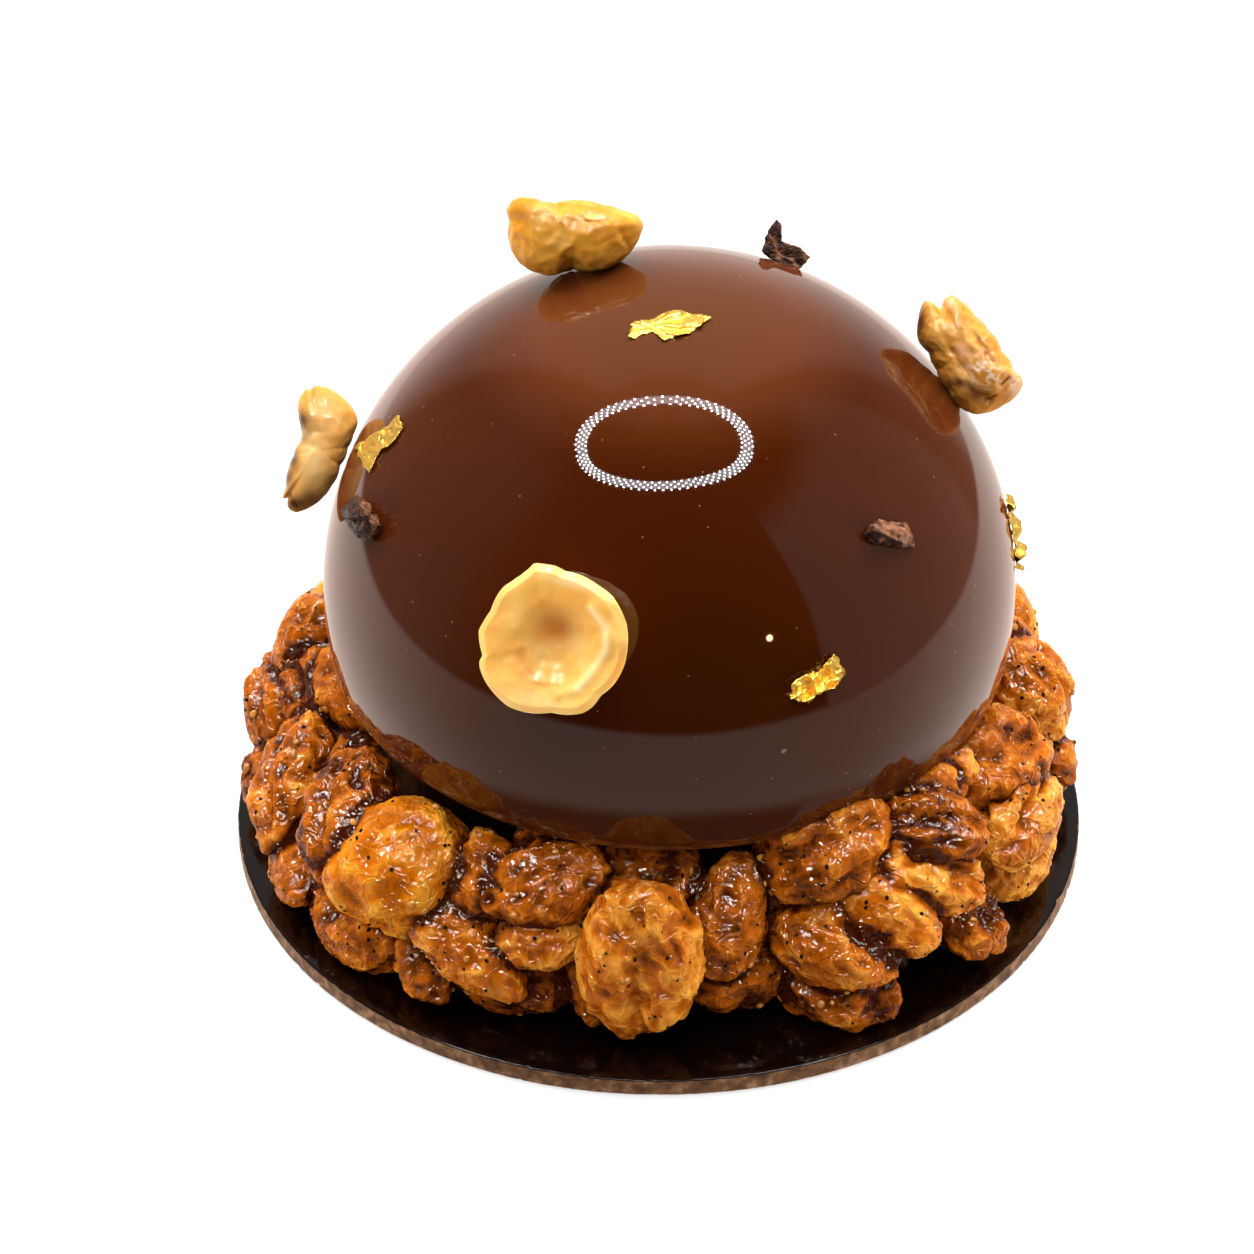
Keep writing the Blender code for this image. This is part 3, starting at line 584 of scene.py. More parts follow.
def glaze_look():
    """Chocolate mirror glaze, poured over the dome: gelatine and cocoa set to a wet film that
    mirrors the studio. Its brown is paler towards the top and darker down the sides, which is
    painted light and shade, and a few specks of dust and tiny bubbles sit in it."""
    look, add = new_look("mirror_glaze")
    place = add("ShaderNodeTexCoord", out=3)
    axis = (float(-DOME_AXIS[0] * MM), 0.0, 0.0)
    from_axis = add("ShaderNodeMapping", {"Vector": place, "Location": axis, "Scale": (1.0, 1.0, 0.0)})
    away = add("ShaderNodeVectorMath", {0: from_axis}, out=1, operation="LENGTH")
    clouds = add("ShaderNodeTexNoise", {"Vector": place, "Scale": every(22.2), "Detail": 2.0})
    away = add("ShaderNodeMath", {0: clouds, 1: 3.0 * MM, 2: away}, operation="MULTIPLY_ADD")
    # Paler brown at the top and darker towards the foot: painted light and shade.
    depth = add("ShaderNodeMapRange", {0: away, 1: 6.0 * MM, 2: 30.0 * MM, 3: 0.0, 4: 1.0})
    stops = ((0.0, "#542a10"), (0.35, "#55270e"), (0.65, "#3c1402"), (0.9, "#3d1603"))
    brown = add("ShaderNodeValToRGB", {0: depth}, stops=stops)
    dust = add("ShaderNodeTexVoronoi", {"Vector": place, "Scale": every(2.38), "Randomness": 1.0})
    dust = add("ShaderNodeMapRange", {0: dust, 1: 0.03, 2: 0.06, 3: 0.6, 4: 0.0})
    brown = add("ShaderNodeMix", {0: dust, 6: brown, 7: colour("#8a6450")}, out=2, data_type="RGBA")
    surface = add(
        "ShaderNodeBsdfPrincipled",
        {
            "Base Color": brown,
            "Roughness": 0.03,
            "IOR": 1.5,
            "Sheen Weight": 0.5,
            "Sheen Roughness": 0.4,
            "Sheen Tint": colour("#a0562c"),
        },
    )
    add("ShaderNodeOutputMaterial", {"Surface": surface})
    return look


def disc_top_look():
    """Tempered dark chocolate that set against plastic film: nearly black with a soft mirror."""
    look, add = new_look("tempered_chocolate")
    place = add("ShaderNodeTexCoord", out=3)
    bloom = add("ShaderNodeTexNoise", {"Vector": place, "Scale": every(6.25), "Detail": 4.0})
    cocoa = add("ShaderNodeValToRGB", {0: bloom}, stops=((0.35, "#080302"), (0.75, "#120705")))
    haze = add("ShaderNodeMapRange", {0: bloom, 1: 0.3, 2: 0.7, 3: 0.08, 4: 0.16})
    waves = add("ShaderNodeTexNoise", {"Vector": place, "Scale": every(8.33), "Detail": 1.0})
    film = add("ShaderNodeBump", {"Height": waves, "Strength": 0.15, "Distance": 0.4 * MM})
    surface = add(
        "ShaderNodeBsdfPrincipled",
        {"Base Color": cocoa, "Roughness": haze, "IOR": 1.48, "Normal": film},
    )
    add("ShaderNodeOutputMaterial", {"Surface": surface})
    return look


def disc_side_look():
    """The same chocolate where it was cut: matt, paler and scuffed along its height."""
    look, add = new_look("cut_chocolate")
    place = add("ShaderNodeTexCoord", out=3)
    scuffs = add("ShaderNodeTexNoise", {"Vector": place, "Scale": every(1.11), "Detail": 4.0})
    stops = ((0.3, "#4a2c18"), (0.52, "#7a5230"), (0.75, "#b08660"))
    cocoa = add("ShaderNodeValToRGB", {0: scuffs}, stops=stops)
    grain = add("ShaderNodeBump", {"Height": scuffs, "Strength": 0.5, "Distance": 0.1 * MM})
    surface = add("ShaderNodeBsdfPrincipled", {"Base Color": cocoa, "Roughness": 0.6, "Normal": grain})
    add("ShaderNodeOutputMaterial", {"Surface": surface})
    return look


def roasted_look(name, stops, brown_code, pale_code):
    """Roasted nut flesh: waxy and softly lit from within, browner where its skin stayed on or
    scorched, and nearly white along broken edges."""
    look, add = new_look(name)
    place = add("ShaderNodeTexCoord", out=3)
    brown = add("ShaderNodeAttribute", out=2, attribute_name="brown")
    pale = add("ShaderNodeAttribute", out=2, attribute_name="pale")
    clouds = add("ShaderNodeTexNoise", {"Vector": place, "Scale": every(3.85), "Detail": 3.0})
    flesh = add("ShaderNodeValToRGB", {0: clouds}, stops=stops)
    flesh = add("ShaderNodeMix", {0: brown, 6: flesh, 7: colour(brown_code)}, out=2, data_type="RGBA")
    flesh = add("ShaderNodeMix", {0: pale, 6: flesh, 7: colour(pale_code)}, out=2, data_type="RGBA")
    grain = add("ShaderNodeTexNoise", {"Vector": place, "Scale": every(0.556), "Detail": 3.0})
    skin = add("ShaderNodeBump", {"Height": grain, "Strength": 0.25, "Distance": 0.1 * MM})
    surface = add(
        "ShaderNodeBsdfPrincipled",
        {
            "Base Color": flesh,
            "Roughness": 0.38,
            "IOR": 1.47,
            "Specular IOR Level": 0.2,
            "Normal": skin,
            "Subsurface Weight": 0.45,
            "Subsurface Radius": (1.0, 0.55, 0.2),
            "Subsurface Scale": 0.7 * MM,
            "Coat Weight": 0.2,
            "Coat Roughness": 0.15,
        },
    )
    add("ShaderNodeOutputMaterial", {"Surface": surface})
    return look


def nib_look():
    """Cocoa nib: dry, brittle bean, nearly black where its skin is on and brown where it broke."""
    look, add = new_look("cocoa_nib")
    place = add("ShaderNodeTexCoord", out=3)
    broken = add("ShaderNodeAttribute", out=2, attribute_name="pale")
    fibres = add("ShaderNodeTexNoise", {"Vector": place, "Scale": every(0.667), "Detail": 4.0})
    skin = add("ShaderNodeValToRGB", {0: fibres}, stops=((0.35, "#1e0e08"), (0.7, "#4e2e20")))
    flesh = add("ShaderNodeValToRGB", {0: fibres}, stops=((0.3, "#5a3422"), (0.7, "#966648")))
    both = add("ShaderNodeMix", {0: broken, 6: skin, 7: flesh}, out=2, data_type="RGBA")
    grain = add("ShaderNodeBump", {"Height": fibres, "Strength": 0.6, "Distance": 0.2 * MM})
    surface = add(
        "ShaderNodeBsdfPrincipled",
        {"Base Color": both, "Roughness": 0.4, "Specular IOR Level": 0.3, "Normal": grain},
    )
    add("ShaderNodeOutputMaterial", {"Surface": surface})
    return look


def gold_look():
    """Edible gold leaf: real beaten gold, thinner than paper, so every tiny crease catches light."""
    look, add = new_look("gold_leaf")
    place = add("ShaderNodeTexCoord", out=3)
    crumple = {"Vector": place, "Scale": every(0.385), "Detail": 3.0, "Distortion": 0.8}
    creases = add("ShaderNodeTexNoise", crumple)
    skin = add("ShaderNodeBump", {"Height": creases, "Strength": 0.8, "Distance": 0.12 * MM})
    surface = add(
        "ShaderNodeBsdfPrincipled",
        {"Base Color": colour("#ffd566"), "Metallic": 1.0, "Roughness": 0.44, "Normal": skin},
    )
    add("ShaderNodeOutputMaterial", {"Surface": surface})
    return look


def bit_look(name, code, roughness, coat=0.0):
    """Bits stuck in the caramel: vanilla seed and scorched skin are dry and nearly black, crumbs of
    nut are tan and glazed like the nuts. Each bit is a shade darker or paler than the next."""
    look, add = new_look(name)
    place = add("ShaderNodeTexCoord", out=3)
    clouds = add("ShaderNodeTexNoise", {"Vector": place, "Scale": every(1.43), "Detail": 2.0})
    shade = add("ShaderNodeMapRange", {0: clouds, 1: 0.3, 2: 0.7, 3: 0.7, 4: 1.15})
    shaded = {"data_type": "RGBA", "blend_type": "MULTIPLY"}
    tint = add("ShaderNodeMix", {0: 1.0, 6: colour(code), 7: shade}, out=2, **shaded)
    surface = add(
        "ShaderNodeBsdfPrincipled",
        {"Base Color": tint, "Roughness": roughness, "Specular IOR Level": 0.2, "Coat Weight": coat},
    )
    add("ShaderNodeOutputMaterial", {"Surface": surface})
    return look


# Dome


def glaze_tree(look):
    """Turns a grid into the glazed dome: a flattened ball that ends below in a rounded foot."""
    numbers = ("Axis X", "Waist Z", "Radius", "Rise", "Foot round", "Foot angle", "Ripple")
    tree, add, given = new_tree("glazed_dome", numbers, ("Steps", "Rings"))
    size = {"Size X": 1.0, "Size Y": 1.0, "Vertices X": given["Steps"], "Vertices Y": given["Rings"]}
    grid = add("GeometryNodeMeshGrid", size)
    place = add("GeometryNodeInputPosition")
    split = add("ShaderNodeSeparateXYZ", {0: place}).node
    turn = add("ShaderNodeMapRange", {0: split.outputs[0], 1: -0.5, 2: 0.5, 3: 0.0, 4: math.tau})
    down = add("ShaderNodeMath", {0: split.outputs[1], 1: 0.5}, operation="ADD")
    shell = add("ShaderNodeMapRange", {0: down, 1: 0.0, 2: 0.86, 3: math.pi / 2, 4: given["Foot angle"]})
    corner = add("ShaderNodeMapRange", {0: down, 1: 0.86, 2: 0.92, 3: given["Foot angle"], 4: -math.pi / 2})
    inwards = add("ShaderNodeMapRange", {0: down, 1: 0.92, 2: 1.0, 3: 1.0, 4: 0.0})
    reach = []
    for operation, ball_size in (("COSINE", given["Radius"]), ("SINE", given["Rise"])):
        on_shell = add("ShaderNodeMath", {0: shell}, operation=operation)
        on_corner = add("ShaderNodeMath", {0: corner}, operation=operation)
        from_corner = add("ShaderNodeMath", {0: given["Foot angle"]}, operation=operation)
        round_part = add("ShaderNodeMath", {0: on_corner, 1: from_corner}, operation="SUBTRACT")
        round_part = add("ShaderNodeMath", {0: round_part, 1: given["Foot round"]}, operation="MULTIPLY")
        terms = {0: on_shell, 1: ball_size, 2: round_part}
        reach.append(add("ShaderNodeMath", terms, operation="MULTIPLY_ADD"))
    radius = add("ShaderNodeMath", {0: reach[0], 1: inwards}, operation="MULTIPLY")
    height = add("ShaderNodeMath", {0: reach[1], 1: given["Waist Z"]}, operation="ADD")
    sine = add("ShaderNodeMath", {0: turn}, operation="SINE")
    cosine = add("ShaderNodeMath", {0: turn}, operation="COSINE")
    x = add("ShaderNodeMath", {0: radius, 1: sine, 2: given["Axis X"]}, operation="MULTIPLY_ADD")
    y = add("ShaderNodeMath", {0: radius, 1: cosine}, operation="MULTIPLY")
    spot = add("ShaderNodeCombineXYZ", {0: x, 1: y, 2: height})
    dome = add("GeometryNodeSetPosition", {"Geometry": grid, "Position": spot})
    dome = add("GeometryNodeMergeByDistance", {"Geometry": dome, "Distance": 1e-6})
    slow = add("ShaderNodeTexNoise", {"Vector": place, "Scale": every(11.76), "Detail": 1.0})
    slow = add("ShaderNodeMath", {0: slow, 1: 0.5}, operation="SUBTRACT")
    slow = add("ShaderNodeMath", {0: slow, 1: given["Ripple"]}, operation="MULTIPLY")
    facing = add("GeometryNodeInputNormal")
    push = add("ShaderNodeVectorMath", {0: facing, "Scale": slow}, operation="SCALE")
    dome = add("GeometryNodeSetPosition", {"Geometry": dome, "Offset": push})
    dome = add("GeometryNodeSetShadeSmooth", {"Geometry": dome})
    dome = add("GeometryNodeRealizeInstances", {"Geometry": dome})
    dome = add("GeometryNodeSetMaterial", {"Geometry": dome, "Material": look})
    add("NodeGroupOutput", {"Geometry": dome})
    return tree


def make_dome(look):
    """The mousse dome in its coat of mirror glaze, as one closed skin."""
    foot_angle = math.asin((DOME_FOOT_Z + DOME_FOOT_ROUND - DOME_AXIS[2]) / DOME_RISE)
    sizes = {
        "Axis X": DOME_AXIS[0] * MM,
        "Waist Z": DOME_AXIS[2] * MM,
        "Radius": DOME_RADIUS * MM,
        "Rise": DOME_RISE * MM,
        "Foot round": DOME_FOOT_ROUND / (1.0 + math.sin(foot_angle)) * MM,
        "Foot angle": foot_angle,
        "Ripple": DOME_RIPPLE * MM,
        "Steps": 321,
        "Rings": 201,
    }
    mesh = grown("glaze", bpy.data.meshes.new("glaze"), glaze_tree(look), sizes)
    face_outwards(mesh)
    show("glazed_dome", mesh, look, ["dome"])


# Disc


def disc_profile():
    """The disc's half section: from the middle over its top, down its side and back below."""
    edge = DISC_EDGE_ROUND
    hub = 2.0
    top = [(radius, DISC_THICKNESS) for radius in (0.0, *np.linspace(hub, DISC_RADIUS - edge, 24))]
    rounding = [
        (DISC_RADIUS - 0.4 * edge, DISC_THICKNESS - 0.15 * edge),
        (DISC_RADIUS - 0.1 * edge, DISC_THICKNESS - 0.5 * edge),
    ]
    side = [(DISC_RADIUS, height) for height in np.linspace(DISC_THICKNESS - edge, edge, 9)]
    return top + rounding + side + [(DISC_RADIUS - edge, 0.0), (hub, 0.0), (0.0, 0.0)]


def make_disc(top_look, side_look):
    """The chocolate disc, with a barely wavy rim that has small nicks."""
    profile = disc_profile()
    points = np.concatenate([oval(radius, radius, height, DISC_STEPS) for radius, height in profile])
    at_rim = ramp(np.hypot(points[:, 0], points[:, 1]), DISC_RADIUS - 1.5, DISC_RADIUS - 0.2)
    chips = np.maximum(0.0, lumps(points, 1.1, 3) - 0.45) * 0.5
    scrapes = 0.04 * lumps(points * np.array((1.0, 1.0, 0.3)), 0.5, 4)
    bend = 0.05 * lumps(points * np.array((1.0, 1.0, 0.0)), 9.0, 5)
    shrink = at_rim * (chips + np.abs(bend) + 0.04 + scrapes) / DISC_RADIUS
    points[:, :2] *= (1.0 - shrink)[:, None]
    mesh = mesh_of("disc", points, bands(len(profile), DISC_STEPS))
    face_outwards(mesh, 1e-7)
    show("chocolate_disc", mesh, top_look, ["base_disc"])
    mesh.materials.append(side_look)
    cut_below = (DISC_THICKNESS - 0.6 * DISC_EDGE_ROUND) * MM
    for face in mesh.polygons:
        face.material_index = int(face.center.z < cut_below)


# Heap


def back_nuts():
    """The nuts behind the dome, which the front rows go on into."""
    draw = random.Random(BACK_SEED)
    kinds = ("pecan", "almond", "chunk", "pecan", "hazelnut", "pecan", "almond")
    nuts = []
    for course, (radius, height, step, azimuth) in enumerate(BACK_COURSES):
        while azimuth < BACK_END:
            kind = kinds[(len(nuts) * 3 + course) % len(kinds)]
            length = 12.5 if kind == "hazelnut" else draw.uniform(11.5, 14.5)
            width = 12.0 if kind == "hazelnut" else draw.uniform(7.0, 8.5)
            turn = draw.uniform(-40, 40)
            lean = draw.uniform(-22, 22) if course else draw.uniform(-4, 4)
            aside = math.sin(math.radians(azimuth)) ** 2
            reach = radius + BACK_SPREAD * aside + draw.uniform(-0.8, 0.8)
            pale = 0.12 * math.sin(13.0 * azimuth)
            nuts.append((kind, azimuth, reach, height, turn, lean, length, width, pale))
            azimuth += step + draw.uniform(-1.5, 1.5)
    for azimuth, radius, height in TUCKED_NUTS:
        nuts.append(("almond", azimuth, radius, height, draw.uniform(-30, 30), 0, 12.0, 7.0, 0.0))
    return nuts


def nut_frame(nut):
    """Half the sizes, the middle and the axes of a nut of the heap."""
    kind, azimuth, radius, height, turn, lean, length, width, _ = nut
    half = np.array((width, width * THICKNESS[kind], length)) / 2.0
    return half, *ring_frame(azimuth, radius, height, turn, lean)


def nut_form(kind, points, seed):
    """Where points of the unit ball go on a nut of this kind, in half sizes."""
    x, y, z = points.T.copy()
    body = np.sqrt(np.maximum(0.0, 1.0 - z * z))
    if kind == "pecan":
        fuller = 1.0 + 0.16 * body
        x = x * fuller
        groove = PECAN_GROOVE * bump(x, 0.0, PECAN_GROOVE_WIDTH) * body
        y = y * fuller - np.where(y > 0.0, groove, -PECAN_BACK_GROOVE * groove)
    elif kind == "almond":
        taper = 1.0 - ALMOND_TAPER * z
        x = x * taper
        y = y * taper
    elif kind == "chunk":
        x = boxy(x, CHUNK_BOXY)
        y = boxy(y, CHUNK_BOXY)
    else:
        tip = ramp(-z, 0.3, 1.0)
        x = x * (1.0 - 0.22 * tip)
        y = y * (1.0 - 0.22 * tip)
        z = z - 0.12 * tip
    form = np.stack((x, y, z), axis=1)
    start = Vector((seed * 3.1, seed * 1.7, 0.0))
    uneven = [noise.noise_vector(Vector(point) * GRAIN + start) for point in form]
    return form + np.array(uneven) * ROUGHNESS[kind]


def nut_relief(kind, points, seed):
    """How far the wrinkled caramel skin stands out from a nut's form."""
    squeezed = points * np.array((1.0, 1.0, 0.55))
    broad = lumps(points, 2.9, seed)
    curls = folds(squeezed + 0.5 * broad[:, None], 1.7, seed + 0.31)
    wrinkles = lumps(points * np.array((0.8, 0.8, 1.3)), 0.75, seed + 0.62)
    if kind == "pecan":
        heights = 0.34 * broad + 0.26 * curls + 0.11 * wrinkles
    elif kind == "chunk":
        heights = 0.42 * broad + 0.22 * curls + 0.14 * wrinkles
    elif kind == "almond":
        heights = 0.28 * broad + 0.18 * curls + 0.12 * wrinkles
    else:
        heights = 0.5 * broad + 0.22 * curls + 0.08 * wrinkles
    return heights + 0.06


def pooled_and_shaded(points, own, nuts):
    """How near each point of a nut lies to another nut, where the caramel between them is thick and darkened
    further as painted shade.
    """
    most = np.zeros(len(points))
    for index, nut in enumerate(nuts):
        half, middle, axes = nut_frame(nut)
        away = np.linalg.norm((points - middle) @ axes.T / (half + 0.2), axis=1)
        if index != own:
            gap = np.linalg.norm(points - middle, axis=1) * (1.0 - 1.0 / np.maximum(away, 0.05))
            most = np.maximum(most, ramp(-gap, -1.5, 0.1))
    return most


def nut_shape(nut, seed, unit, nuts):
    """A nut of the heap as points, faces and the numbers that colour it."""
    points, faces = unit
    half, middle, axes = nut_frame(nut)
    body = nut_form(nut[0], points, seed) * half
    relief = nut_relief(nut[0], body, seed)
    body = body + outward(body, faces) * relief[:, None]
    placed = middle + body @ axes
    placed[:, 2] = np.maximum(placed[:, 2], HEAP_FLOOR_Z - 0.25)
    least = 0.3 if nut[0] == "hazelnut" else 0.08
    # Darker where other nuts lie near: thick caramel there, and painted shade between the nuts.
    crest_and_shade = least + (1.0 - least) * ramp(relief, -0.5, 0.85) - 0.7 * pooled_and_shaded(placed, seed, nuts)
    # Each nut's tone is partly its own and partly painted light and shade.
    return placed, faces, {"crest_and_shade": crest_and_shade, "tone_and_shade": np.full(len(placed), nut[-1])}


def make_nuts(looks):
    """All nuts of the heap, one piece for each kind, in front and behind."""
    fine = ball(24, 36)
    plain = ball(16, 24)
    groups = {}
    nuts = list(FRONT_NUTS) + back_nuts()
    for index, nut in enumerate(nuts):
        in_front = index < len(FRONT_NUTS)
        title = f"{nut[0]}s_{'front' if in_front else 'back'}"
        shape = nut_shape(nut, index, fine if in_front else plain, nuts)
        groups.setdefault(title, []).append(shape)
    for title, shapes in groups.items():
        points, faces, values = stack(shapes)
        look = looks["hazelnut" if title.startswith("hazelnut") else "nut"]
        show(title, mesh_of(title, points, faces, values), look, ["nut_ring"])
    return stack([shape for shapes in groups.values() for shape in shapes])


def core_shape():
    """The closed middle of the heap, under the nuts."""
    profile = (
        (0.0, HEAP_TOP_Z),
        (HEAP_TOP_RADIUS - HEAP_EDGE, HEAP_TOP_Z),
        (HEAP_TOP_RADIUS, HEAP_TOP_Z - HEAP_EDGE),
        (HEAP_FOOT_RADIUS - HEAP_BELLY_INSET, HEAP_BELLY_Z),
        (HEAP_FOOT_RADIUS, HEAP_FLOOR_Z),
        (0.0, HEAP_FLOOR_Z),
    )
    rings = []
    for radius, height in profile:
        wide = radius * (1.0 + HEAP_WIDENING * (1.0 - height / HEAP_TOP_Z))
        rings.append(oval(wide, radius, height, HEAP_STEPS))
    return np.concatenate(rings), bands(len(profile), HEAP_STEPS), {}


def make_syrup(look):
    """Caramel that has run together between the nuts: all of them grown into one skin and then
    smoothed, so it stands out only where two nuts meet."""
    coarse = ball(7, 10)
    shapes = [core_shape()]
    for index, nut in enumerate(list(FRONT_NUTS) + back_nuts()):
        half, middle, axes = nut_frame(nut)
        shapes.append((middle + (nut_form(nut[0], coarse[0], index) * half) @ axes, coarse[1], {}))
    points, faces, _ = stack(shapes)
    one_skin = ("REMESH", {"mode": "VOXEL", "voxel_size": SYRUP_CELL * MM})
    run_together = ("SMOOTH", {"factor": 0.6, "iterations": 20})
    sink = ("DISPLACE", {"strength": -SYRUP_SINKS * MM, "mid_level": 0.0})
    mesh = worked("syrup", mesh_of("syrup", points, faces), (one_skin, run_together, sink))
    mesh.shade_smooth()
    show("set_caramel_dark_as_shade", mesh, look, ["nut_ring"])


def scatter_tree(name, look):
    """Small bits stuck all over a surface, each turned and sized by itself."""
    numbers = ("Density", "Smallest", "Largest", "Flatness", "Unevenness", "Inside radius")
    tree, add, given = new_tree(name, numbers, ("Seed", "Roundness"))
    place = add("GeometryNodeInputPosition")
    split = add("ShaderNodeSeparateXYZ", {0: place}).node
    level = add("ShaderNodeCombineXYZ", {0: split.outputs[0], 1: split.outputs[1]})
    away = add("ShaderNodeVectorMath", {0: level}, out=1, operation="LENGTH")
    outside = add("FunctionNodeCompare", {0: away, 1: given["Inside radius"]}, operation="GREATER_THAN")
    spread = add(
        "GeometryNodeDistributePointsOnFaces",
        {
            "Mesh": given["Geometry"],
            "Selection": outside,
            "Density": given["Density"],
            "Seed": given["Seed"],
        },
    ).node
    bit = add("GeometryNodeMeshIcoSphere", {"Radius": 1.0, "Subdivisions": given["Roundness"]})
    flat = add("ShaderNodeCombineXYZ", {0: 1.0, 1: 0.8, 2: given["Flatness"]})
    bit = add("GeometryNodeTransform", {"Geometry": bit, "Scale": flat})
    size = add("FunctionNodeRandomValue", {2: given["Smallest"], 3: given["Largest"], "Seed": 3}, out=1)
    spun = add("FunctionNodeRandomValue", {2: 0.0, 3: math.tau, "Seed": 4}, out=1)
    spin = add("FunctionNodeAxisAngleToRotation", {"Axis": (0.0, 0.0, 1.0), "Angle": spun})
    turns = {0: spread.outputs["Rotation"], 1: spin}
    turned = add("FunctionNodeRotateRotation", turns, rotation_space="LOCAL")
    bits = add(
        "GeometryNodeInstanceOnPoints",
        {"Points": spread.outputs["Points"], "Instance": bit, "Rotation": turned, "Scale": size},
    )
    bits = add("GeometryNodeRealizeInstances", {"Geometry": bits})
    ragged = add("ShaderNodeTexNoise", {"Vector": place, "Scale": every(0.5263), "Detail": 1.0}, out=1)
    ragged = add("ShaderNodeVectorMath", {0: ragged, 1: (0.5, 0.5, 0.5)}, operation="SUBTRACT")
    ragged = add("ShaderNodeVectorMath", {0: ragged, "Scale": given["Unevenness"]}, operation="SCALE")
    bits = add("GeometryNodeSetPosition", {"Geometry": bits, "Offset": ragged})
    bits = add("GeometryNodeSetShadeSmooth", {"Geometry": bits})
    bits = add("GeometryNodeSetMaterial", {"Geometry": bits, "Material": look})
    add("NodeGroupOutput", {"Geometry": bits})
    return tree


def make_bits(nuts, speck_look, crumb_look):
    """Black specks of vanilla and scorched skin, and pale crumbs of nut, stuck in the caramel."""
    points, faces, _ = nuts
    kinds = (
        ("vanilla_specks", speck_look, 0.12, 0.1, 0.3, 0.45, 0.15, 11, 1),
        ("nut_crumbs", crumb_look, 0.034, 0.14, 0.5, 0.6, 0.45, 12, 2),
    )
    for name, look, to_each_mm2, small, large, flatness, uneven, seed, roundness in kinds:
        sizes = {
            "Density": to_each_mm2 / MM**2,
            "Smallest": small * MM,
            "Largest": large * MM,
            "Flatness": flatness,
            "Unevenness": uneven * MM,
            "Inside radius": BITS_FROM_RADIUS * MM,
            "Seed": seed,
            "Roundness": roundness,
        }
        mesh = grown(name, mesh_of(name, points, faces), scatter_tree(name, look), sizes)
        show(name, mesh, look, ["nut_ring"])


# Toppings


def reach_of(outline, angles):
    """How far a slightly rounded outline lies from its middle in each direction."""
    points = np.array(outline)
    at = np.arctan2(points[:, 1], points[:, 0])
    around = np.linspace(-math.pi, math.pi, 721)[:-1]
    reach = np.interp(around, at, np.hypot(points[:, 0], points[:, 1]), period=math.tau)
    weights = bump(np.arange(-6, 7), 0.0, 3.0)
    spread = np.convolve(np.concatenate((reach[-6:], reach, reach[:6])), weights / weights.sum(), "valid")
    return np.interp(angles, around, spread, period=math.tau)


def spots(u, v, marks):
    """How strongly each place is marked, by soft spots of (right, up, width, height, strength)."""
    total = np.zeros(len(u))
    for right, up, width, height, strength in marks:
        away = ((u - right) / width) ** 2 + ((v - up) / height) ** 2
        total = np.maximum(total, strength * np.exp(-away))
    return total


def to_path(u, v, path):
    """How far each place is from a bent line."""
    best = np.full(len(u), 1e9)
    for (ax, ay), (bx, by) in zip(path, path[1:]):
        run = (bx - ax) ** 2 + (by - ay) ** 2
        share = np.clip(((u - ax) * (bx - ax) + (v - ay) * (by - ay)) / run, 0.0, 1.0)
        best = np.minimum(best, np.hypot(u - ax - share * (bx - ax), v - ay - share * (by - ay)))
    return best


def outline_nut(unit, outline, depths, middle, relief, grooves, fullness=0.85):
    """A nut blown up to its outline, as points, its own (u, v, w) and how far each faces the front.
    The relief is how far the skin sinks, and then layers of (height, lumps or folds, size, seed). A
    groove is its path, width and depth."""
    x, y, z = unit[0].T
    angles = np.arctan2(y, x)
    reach = reach_of(outline, angles)
    flat = np.hypot(x, y) ** fullness
    w = np.where(z > 0.0, depths[0], depths[1]) * boxy(z, fullness)
    local = np.stack((np.cos(angles) * reach * flat, np.sin(angles) * reach * flat, w), axis=1)
    facing = outward(local, unit[1])
    sunk, *layers = relief
    heights = sum(height * kind(local, size, seed) for height, kind, size, seed in layers) - sunk
    front = ramp(z, -0.25, 0.1)
    for path, width, depth in grooves:
        near = to_path(local[:, 0], local[:, 1], path)
        heights = heights - depth * bump(near, 0.0, width) * front
    inner = ramp(np.abs(z), 0.0, 0.35)
    local = local + facing * (heights * (0.35 + 0.65 * inner))[:, None]
    world = middle + local @ np.array((RIGHTWARDS, UPWARDS, TOWARDS))
    return world, local, front


def make_golden_nut(unit, look):
    """A nut half lying along the top: two lobes below a cleft and a dented face above."""
    grooves = (
        (((-0.5, -3.7), (-0.9, -2.7)), 0.55, 0.5),
        (((4.6, 0.2), (5.3, -1.0)), 0.35, 0.2),
        (((2.2, -1.2), (3.6, -0.6), (4.6, 0.1)), 0.3, 0.12),
        (((-5.0, -0.6), (-4.0, -1.2), (-3.8, -2.1)), 0.25, 0.1),
        (((0.7, 1.7), (1.1, 1.2), (2.6, 1.05), (3.3, 1.4)), 0.15, 0.18),
    )
    relief = (0.07, (0.26, lumps, 3.0, 41), (0.12, folds, 1.7, 42), (0.06, lumps, 0.7, 43))
    toasted = (
        (-4.8, 1.6, 0.9, 0.9, 0.45), (-0.3, 1.0, 1.4, 0.7, 0.4), (2.3, 0.4, 1.6, 0.5, 0.3),
        (4.5, -1.4, 1.2, 0.6, 0.3),
    )
    worn = ((2.0, 1.6, 1.1, 0.4, 0.5), (-3.2, 2.0, 1.2, 1.0, 0.3), (-1.6, -0.8, 1.0, 0.7, 0.2))
    world, local, front = outline_nut(unit, GOLDEN_OUTLINE, GOLDEN_DEPTHS, GOLDEN_MIDDLE, relief, grooves)
    u, v = local[:, 0], local[:, 1]
    underside = ramp(-v + 0.3 * lumps(local, 1.5, 44), 1.6, 4.2)
    brown = np.maximum(spots(u, v, toasted) * front, 0.55 * underside)
    pale = spots(u, v, worn) * front
    mesh = mesh_of("golden", world, unit[1], {"brown": brown, "pale": pale})
    show("golden_nut_half", mesh, look, ["golden_nut"])


